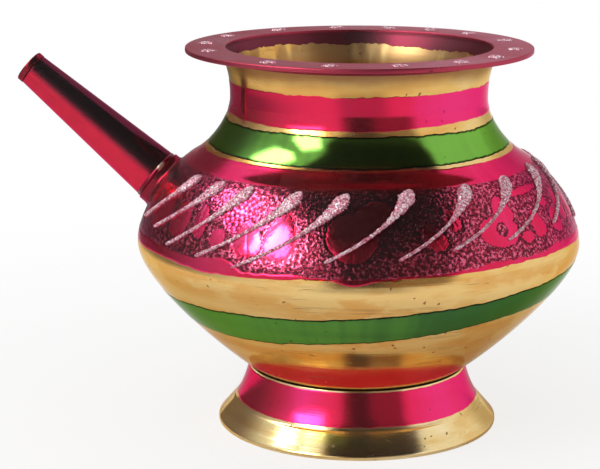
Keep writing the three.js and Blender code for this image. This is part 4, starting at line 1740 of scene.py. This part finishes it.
@dataclass
class Paste(Assembly):
    """The glitter paste: comma-shaped strokes on the shoulder and small dabs on the rim."""

    head_drop: float = 1.5
    head_width: float = 4.4
    tail_width: float = 0.8
    head_rise: float = 0.75
    tail_rise: float = 0.42
    curl: float = 0.35
    paste_gap: float = 0.2
    root_depth: float = 0.62
    grain: float = 0.2
    stations: int = 170
    across: int = 18
    dab_inset: float = 5.2
    dab_radius: float = 2.35
    dab_rise: float = 0.5
    dab_sunk: float = 0.02
    dab_lobes: int = 5
    dab_sides: int = 60
    dab_rows: int = 14

    def path(self, stroke: Stroke, t: Array) -> tuple[Array, Array]:
        """Gives a stroke's azimuth in radians and its height, from its head at 0 to its tail at 1.

        Args:
            stroke: the stroke.
            t: how far along it.

        Returns:
            The azimuth and the height.
        """
        head_height = self.outline.shoulder_height - self.head_drop + stroke.lift
        azimuth = np.radians(stroke.head - stroke.sweep * (t * (1 - self.curl) + t * t * self.curl))
        return azimuth, head_height - stroke.drop * (head_height - self.outline.seam) * t

    def stroke(self, index: int, stroke: Stroke) -> Piece:
        """Builds one stroke, its top and edges rough with flakes.

        Args:
            index: its number, which also seeds its grain.
            stroke: where it runs.

        Returns:
            The object.
        """
        line, rng = self.outline, np.random.default_rng(100 + index)
        t = np.linspace(0.0, 1.0, self.stations)[:, None] ** 1.25
        bulb = np.sqrt(np.clip(0.02 + t * 9.0, 0.0, 1.0)) * np.sqrt(np.clip((1.004 - t) * 40.0, 0.0, 1.0))
        thin = 1.0 - smooth_step(t, 0.02, 0.56) ** 0.72
        pulse = np.sin(90.0 * t + rng.uniform(0, 6)) * rng.uniform(0.3, 1.0, t.shape)
        beads = 1.0 + 0.22 * (1.0 - thin) * pulse
        width = bulb * beads * (self.tail_width + (self.head_width - self.tail_width) * thin)
        rise = bulb * (self.tail_rise + (self.head_rise - self.tail_rise) * thin)
        azimuth, height = self.path(stroke, t)
        ahead_azimuth, ahead_height = self.path(stroke, t + 0.01)
        radius, arc = line.section(height, 0.0)[0], line.arc_at(height)
        run_u, run_v = (ahead_azimuth - azimuth) * radius, line.arc_at(ahead_height) - arc
        size = np.hypot(run_u, run_v)
        side = np.linspace(-0.5, 0.5, self.across)[None, :]
        ragged = 1.0 + 0.1 * rng.standard_normal((self.stations, 2))
        spread = side * width * np.where(side < 0, ragged[:, :1], ragged[:, 1:])
        turn = azimuth - spread * run_v / size / radius
        place = line.height_at(arc + spread * run_u / size)
        crown = dome(2 * side) ** 0.7
        top = self.paste_gap + rise * crown
        top = top + rng.uniform(-0.5, 0.5, (self.stations, self.across)) * self.grain * crown
        top = np.clip(top, -0.3, self.paste_gap + self.head_rise)
        under = line.spots(turn, place, self.root_depth)[:, ::-1]
        grid = np.concatenate([line.spots(turn, place, -top), under], axis=1)
        return Shape.strip(f"paste_stroke_{index + 1:02d}", grid)

    def dab(self, index: int, azimuth: float) -> Piece:
        """Builds one five-lobed dab standing on the rim.

        Args:
            index: its number, which also seeds its form.
            azimuth: where it stands, in degrees.

        Returns:
            The object.
        """
        line, rng, turn = self.outline, np.random.default_rng(300 + index), math.radians(azimuth)
        sides, rows, base = self.dab_sides, self.dab_rows, line.rim_top - self.dab_sunk
        middle = line.axis.spots(line.rim_radius - self.dab_inset, turn, base)
        angle = all_round(sides)[:, 0]
        lobes = 0.82 + 0.18 * np.cos(self.dab_lobes * (angle - turn)) + rng.uniform(-0.04, 0.04, sides)
        share = np.sin(np.linspace(0.0, np.pi / 2, rows))[::-1][:, None]
        rise = self.dab_rise * dome(share**1.2) * rng.uniform(0.6, 1.0, (rows, sides))
        rise = rise * (1.0 - 0.55 * mound(share, 0.3))
        rise[0] = 0.0
        reach = self.dab_radius * share * lobes
        grid = middle + np.stack([reach * np.cos(angle), reach * np.sin(angle), rise], axis=-1)
        return Shape.strip(f"paste_dab_{index + 1:02d}", grid[:-1])

    def build(self) -> None:
        """Builds every stroke and dab."""
        for kind, make, places in (("stroke", self.stroke, STROKES), ("dab", self.dab, DABS)):
            for index, place in enumerate(places):
                self.hand_over(make(index, place), GLITTER, Slot.GLITTER, f"glitter_{kind}_{index + 1:02d}")


@dataclass(frozen=True)
class Patch:
    """A soft-edged area of the surround: its sides by elevation, counted from the camera, and its level."""

    sides: tuple[tuple[float, float, float], ...]
    level: float
    soft_side: float = 8.0
    soft_end: float = 5.0

    def share(self, azimuth: Array, elevation: Array) -> Array:
        """Gives 1 inside the area and 0 outside, in degrees.

        Args:
            azimuth: counted from the camera.
            elevation: counted from the horizon.

        Returns:
            The share.
        """
        heights, lefts, rights = (np.array(column) for column in zip(*self.sides))
        left, right = np.interp(elevation, heights, lefts), np.interp(elevation, heights, rights)
        side, end = self.soft_side, self.soft_end
        across = smooth_step(azimuth - left, -side, side) * smooth_step(right - azimuth, -side, side)
        up = smooth_step(elevation - heights[0], -end, end) * smooth_step(heights[-1] - elevation, -end, end)
        return across * up


def levels(patches: Iterable[Patch], azimuth: Array, elevation: Array) -> Array:
    """Lays patches over an even brightness of 1, one after the other.

    Args:
        patches: the patches, in order.
        azimuth: in degrees from the camera.
        elevation: in degrees.

    Returns:
        The brightness.
    """
    level = np.ones(np.broadcast(azimuth, elevation).shape)
    for patch in patches:
        level += (patch.level - level) * patch.share(azimuth, elevation)
    return level


def backdrop(name: str, spots: Array, faces: Iterable, marks: Marks, finish: bpy.types.Material) -> Piece:
    """Makes a piece of the studio.

    Args:
        name: the piece's name.
        spots: its points, in metres.
        faces: corner numbers of each face.
        marks: values kept at its points, by name.
        finish: its material.

    Returns:
        The piece.
    """
    mesh = bpy.data.meshes.new(name)
    mesh.from_pydata(spots.tolist(), [], faces)
    keep(mesh, marks)
    finish.cycles.emission_sampling = "NONE"
    mesh.materials.append(finish)
    return placed(name, mesh)


@dataclass
class Surround:
    """The room round the pot, a dome that only polished faces show: white, with windows and dark sides."""

    radius: float = 1.3
    lowest: float = -12.0
    step: float = 2.0
    shade: Colour = (1.0, 0.74, 0.6)
    left_wall: Patch = Patch(((-14, -200, -80), (14, -200, -80), (24, -200, -92), (36, -200, -112)),
                              0.2, 40.0, 6.0)
    back_wall: Patch = Patch(((-14, 128, 200), (30, 132, 200)), 0.66, 12.0, 10.0)
    back_left: Patch = Patch(((-14, -200, -166), (30, -200, -166)), 0.5, 12.0, 10.0)
    front: Patch = Patch(((-16, -14, 20), (-5, -14, 40), (1, -15, 47), (25, -14, 49), (38, -18, 60),
                          (48, -32, 66)), 0.29, 6.0)
    front_core: Patch = Patch(((-10, -9, 13), (22, -8, 13), (34, -6, 20), (39, -24, 56), (52, -34, 78)),
                               0.08, 6.0, 4.0)
    wide_window: Patch = Patch(((42, -112, -82), (50, -112, -70), (57, -106, -74)), 11.0, 3.5, 2.5)
    tall_window: Patch = Patch(((22, -64, -32), (34, -60, -34), (38, -62, -36), (50, -58, -38)),
                                10.0, 3.5, 3.0)
    overhead: Patch = Patch(((45, -30, 68), (52, -34, 82), (58, -42, 100), (62, -56, 140), (66, -78, 200),
                             (71, -200, 200), (95, -200, 200)), 0.03, 7.0, 4.0)

    def build(self, middle: Array, facing: float) -> None:
        """Builds the dome.

        Args:
            middle: the point that it stands round, in metres.
            facing: azimuth of the camera, which the areas count from, in degrees.
        """
        elevation = np.arange(self.lowest, 90.0, self.step)[:, None]
        azimuth = np.arange(-180.0, 180.0, self.step)[None, :]
        patches = (self.left_wall, self.back_wall, self.back_left, self.front, self.front_core,
                   self.wide_window, self.tall_window, self.overhead)
        net = Net(bpy.data.materials.new("surround"))
        shown = net.mark("level")
        tint = net.mix(net.step(shown, 0.0, 0.75), self.shade, WHITE)
        finish = net.end(net.add("Emission", Color=tint, Strength=shown))
        grid = (middle + self.radius * direction(azimuth + facing, elevation)).reshape(-1, 3)
        cells = Shape.quads(elevation.size, azimuth.size, False, True).tolist()
        dome_piece = backdrop("surround", grid, cells, {"level": levels(patches, azimuth, elevation)}, finish)
        dome_piece.visible_camera = dome_piece.visible_diffuse = dome_piece.visible_shadow = False
        dome_piece.visible_transmission = dome_piece.visible_volume_scatter = False


@dataclass
class Studio:
    """Floor, surround, lamp and camera."""

    outline: Outline
    camera_distance: float = 512.1
    camera_height: float = 171.9
    camera_azimuth: float = 8.0
    camera_pitch: float = 13.013
    camera_yaw: float = 1.84
    focal_pixels: float = 1845.9
    image_width: int = 600
    sensor: float = 36.0
    clip: tuple[float, float] = (0.01, 100.0)
    middle_height: float = 60.0
    paper: Colour = (0.93, 0.93, 0.93)
    seen_fade: tuple[float, float, float, float] = (0.07, 0.3, 0.75, 1.0)
    glossy_fade: tuple[float, float, float, float] = (0.06, 0.15, 0.0, 0.9)
    front_floor: Patch = Patch(((20, -14, 26), (400, -14, 26)), 0.55, 8.0, 4.0)
    left_floor: Patch = Patch(((30, -200, -70), (400, -200, -70)), 0.2, 36.0, 6.0)
    floor_near: tuple[float, float, int] = (0.02, 0.3, 15)
    floor_far: tuple[float, int, float] = (3.7, 10, 1.5)
    floor_turns: int = 120
    world_level: float = 0.72
    lamp_azimuth: float = -47.0
    lamp_elevation: float = 36.0
    lamp_distance: float = 1.15
    lamp_size: tuple[float, float] = (0.5, 0.8)
    lamp_level: float = 3.3

    def camera(self) -> None:
        """Places the camera at the photograph's angle."""
        data = bpy.data.cameras.new("camera")
        data.sensor_width = self.sensor
        data.lens = self.focal_pixels / self.image_width * self.sensor
        data.clip_start, data.clip_end = self.clip
        camera = placed("camera", data)
        eye = self.camera_distance * direction(self.camera_azimuth, 0.0)
        camera.location = Vector(eye + [self.outline.axis_x, 0.0, self.camera_height]) * MM
        tilt, turn = 90.0 - self.camera_pitch, self.camera_azimuth + self.camera_yaw
        camera.rotation_euler = (math.radians(tilt), 0.0, math.radians(turn))
        bpy.context.scene.camera = camera

    def floor_finish(self) -> bpy.types.Material:
        """Makes the floor's white paper, which fades into the background and keeps the pot's shadow.

        Returns:
            The material.
        """
        net = Net(bpy.data.materials.new("pale_floor"))
        path = net.add("LightPath").outputs
        glossy, seen = path["Is Glossy Ray"], net.most(path["Is Camera Ray"], path["Is Transmission Ray"])
        away = net.work("VectorMath", "LENGTH", net.places)["Value"]
        share = net.most(net.times(seen, net.step(away, *self.seen_fade)),
                         net.times(glossy, net.step(away, *self.glossy_fade)))
        level = net.plus(1.0, net.times(glossy, net.less(net.mark("shown"), 1.0)))
        paper = net.add("BsdfDiffuse", Color=self.paper).outputs[0]
        glow = net.add("Emission", Color=WHITE, Strength=level).outputs[0]
        surface = net.add("MixShader")
        for socket, value in zip(surface.inputs, (share, paper, glow)):
            net.feed(socket, value)
        return net.end(surface)

    def floor(self) -> None:
        """Lays a wide pale floor."""
        reach, rows, ease = self.floor_far
        far = np.linspace(0.0, 1.0, rows)[1:] ** ease * reach + self.floor_near[1]
        rings = np.concatenate([np.linspace(*self.floor_near), far])
        count = self.floor_turns
        angle = np.degrees(all_round(count)[:, 0])
        around = (rings[:, None, None] * direction(angle, 0.0)).reshape(-1, 3)
        spots = np.concatenate([np.zeros((1, 3)), around])
        faces = [(0, 1 + (k + 1) % count, 1 + k) for k in range(count)]
        faces += (Shape.quads(len(rings), count, False, True) + 1).tolist()
        turn = (angle - self.camera_azimuth + 180.0) % 360.0 - 180.0
        shown = levels((self.front_floor, self.left_floor), turn[None, :], rings[:, None] * 100.0)
        marks = {"shown": np.concatenate([[1.0], shown.ravel()])}
        backdrop("floor", spots, faces, marks, self.floor_finish())

    def world(self) -> None:
        """Makes the background white, and the light that it sheds soft and even."""
        net = Net(bpy.data.worlds.new("studio"))
        path = net.add("LightPath").outputs
        seen = net.most(path["Is Camera Ray"], path["Is Glossy Ray"], path["Is Transmission Ray"])
        level = net.add("MapRange", Value=seen, To_Min=self.world_level, To_Max=1.0).outputs[0]
        bpy.context.scene.world = net.end(net.add("Background", Color=WHITE, Strength=level), "World")

    def lamp(self) -> None:
        """Hangs the soft lamp on the window's side; polished faces don't show it."""
        data = bpy.data.lights.new("window_lamp", "AREA")
        data.shape = "RECTANGLE"
        width, height = data.size, data.size_y = self.lamp_size
        data.energy = self.lamp_level * math.pi * width * height
        lamp = placed("window_lamp", data)
        out = Vector(direction(self.lamp_azimuth + self.camera_azimuth, self.lamp_elevation))
        lamp.location = Vector(self.middle) + out * self.lamp_distance
        lamp.rotation_mode = "QUATERNION"
        lamp.rotation_quaternion = out.to_track_quat("Z", "Y")
        lamp.visible_glossy = False

    @property
    def middle(self) -> Array:
        """The middle of the pot, in metres."""
        return np.array([self.outline.axis_x, 0.0, self.middle_height]) * MM

    def build(self) -> None:
        """Builds the studio."""
        self.camera()
        self.floor()
        self.world()
        Surround().build(self.middle, self.camera_azimuth)
        self.lamp()
        bpy.context.scene.view_settings.view_transform = "Standard"


def main() -> None:
    """Builds the pot's sub-assemblies in order, then the studio."""
    logging.basicConfig(level=logging.INFO, format="%(name)s: %(message)s")
    outline, made = Outline(), {}
    spout = Spout(outline, made)
    Body(outline, made).build(spout.drill())
    Rim(outline, made).build()
    Foot(outline, made).build()
    spout.build()
    Paste(outline, made).build()
    Studio(outline).build()


if __name__ == "__main__":
    main()
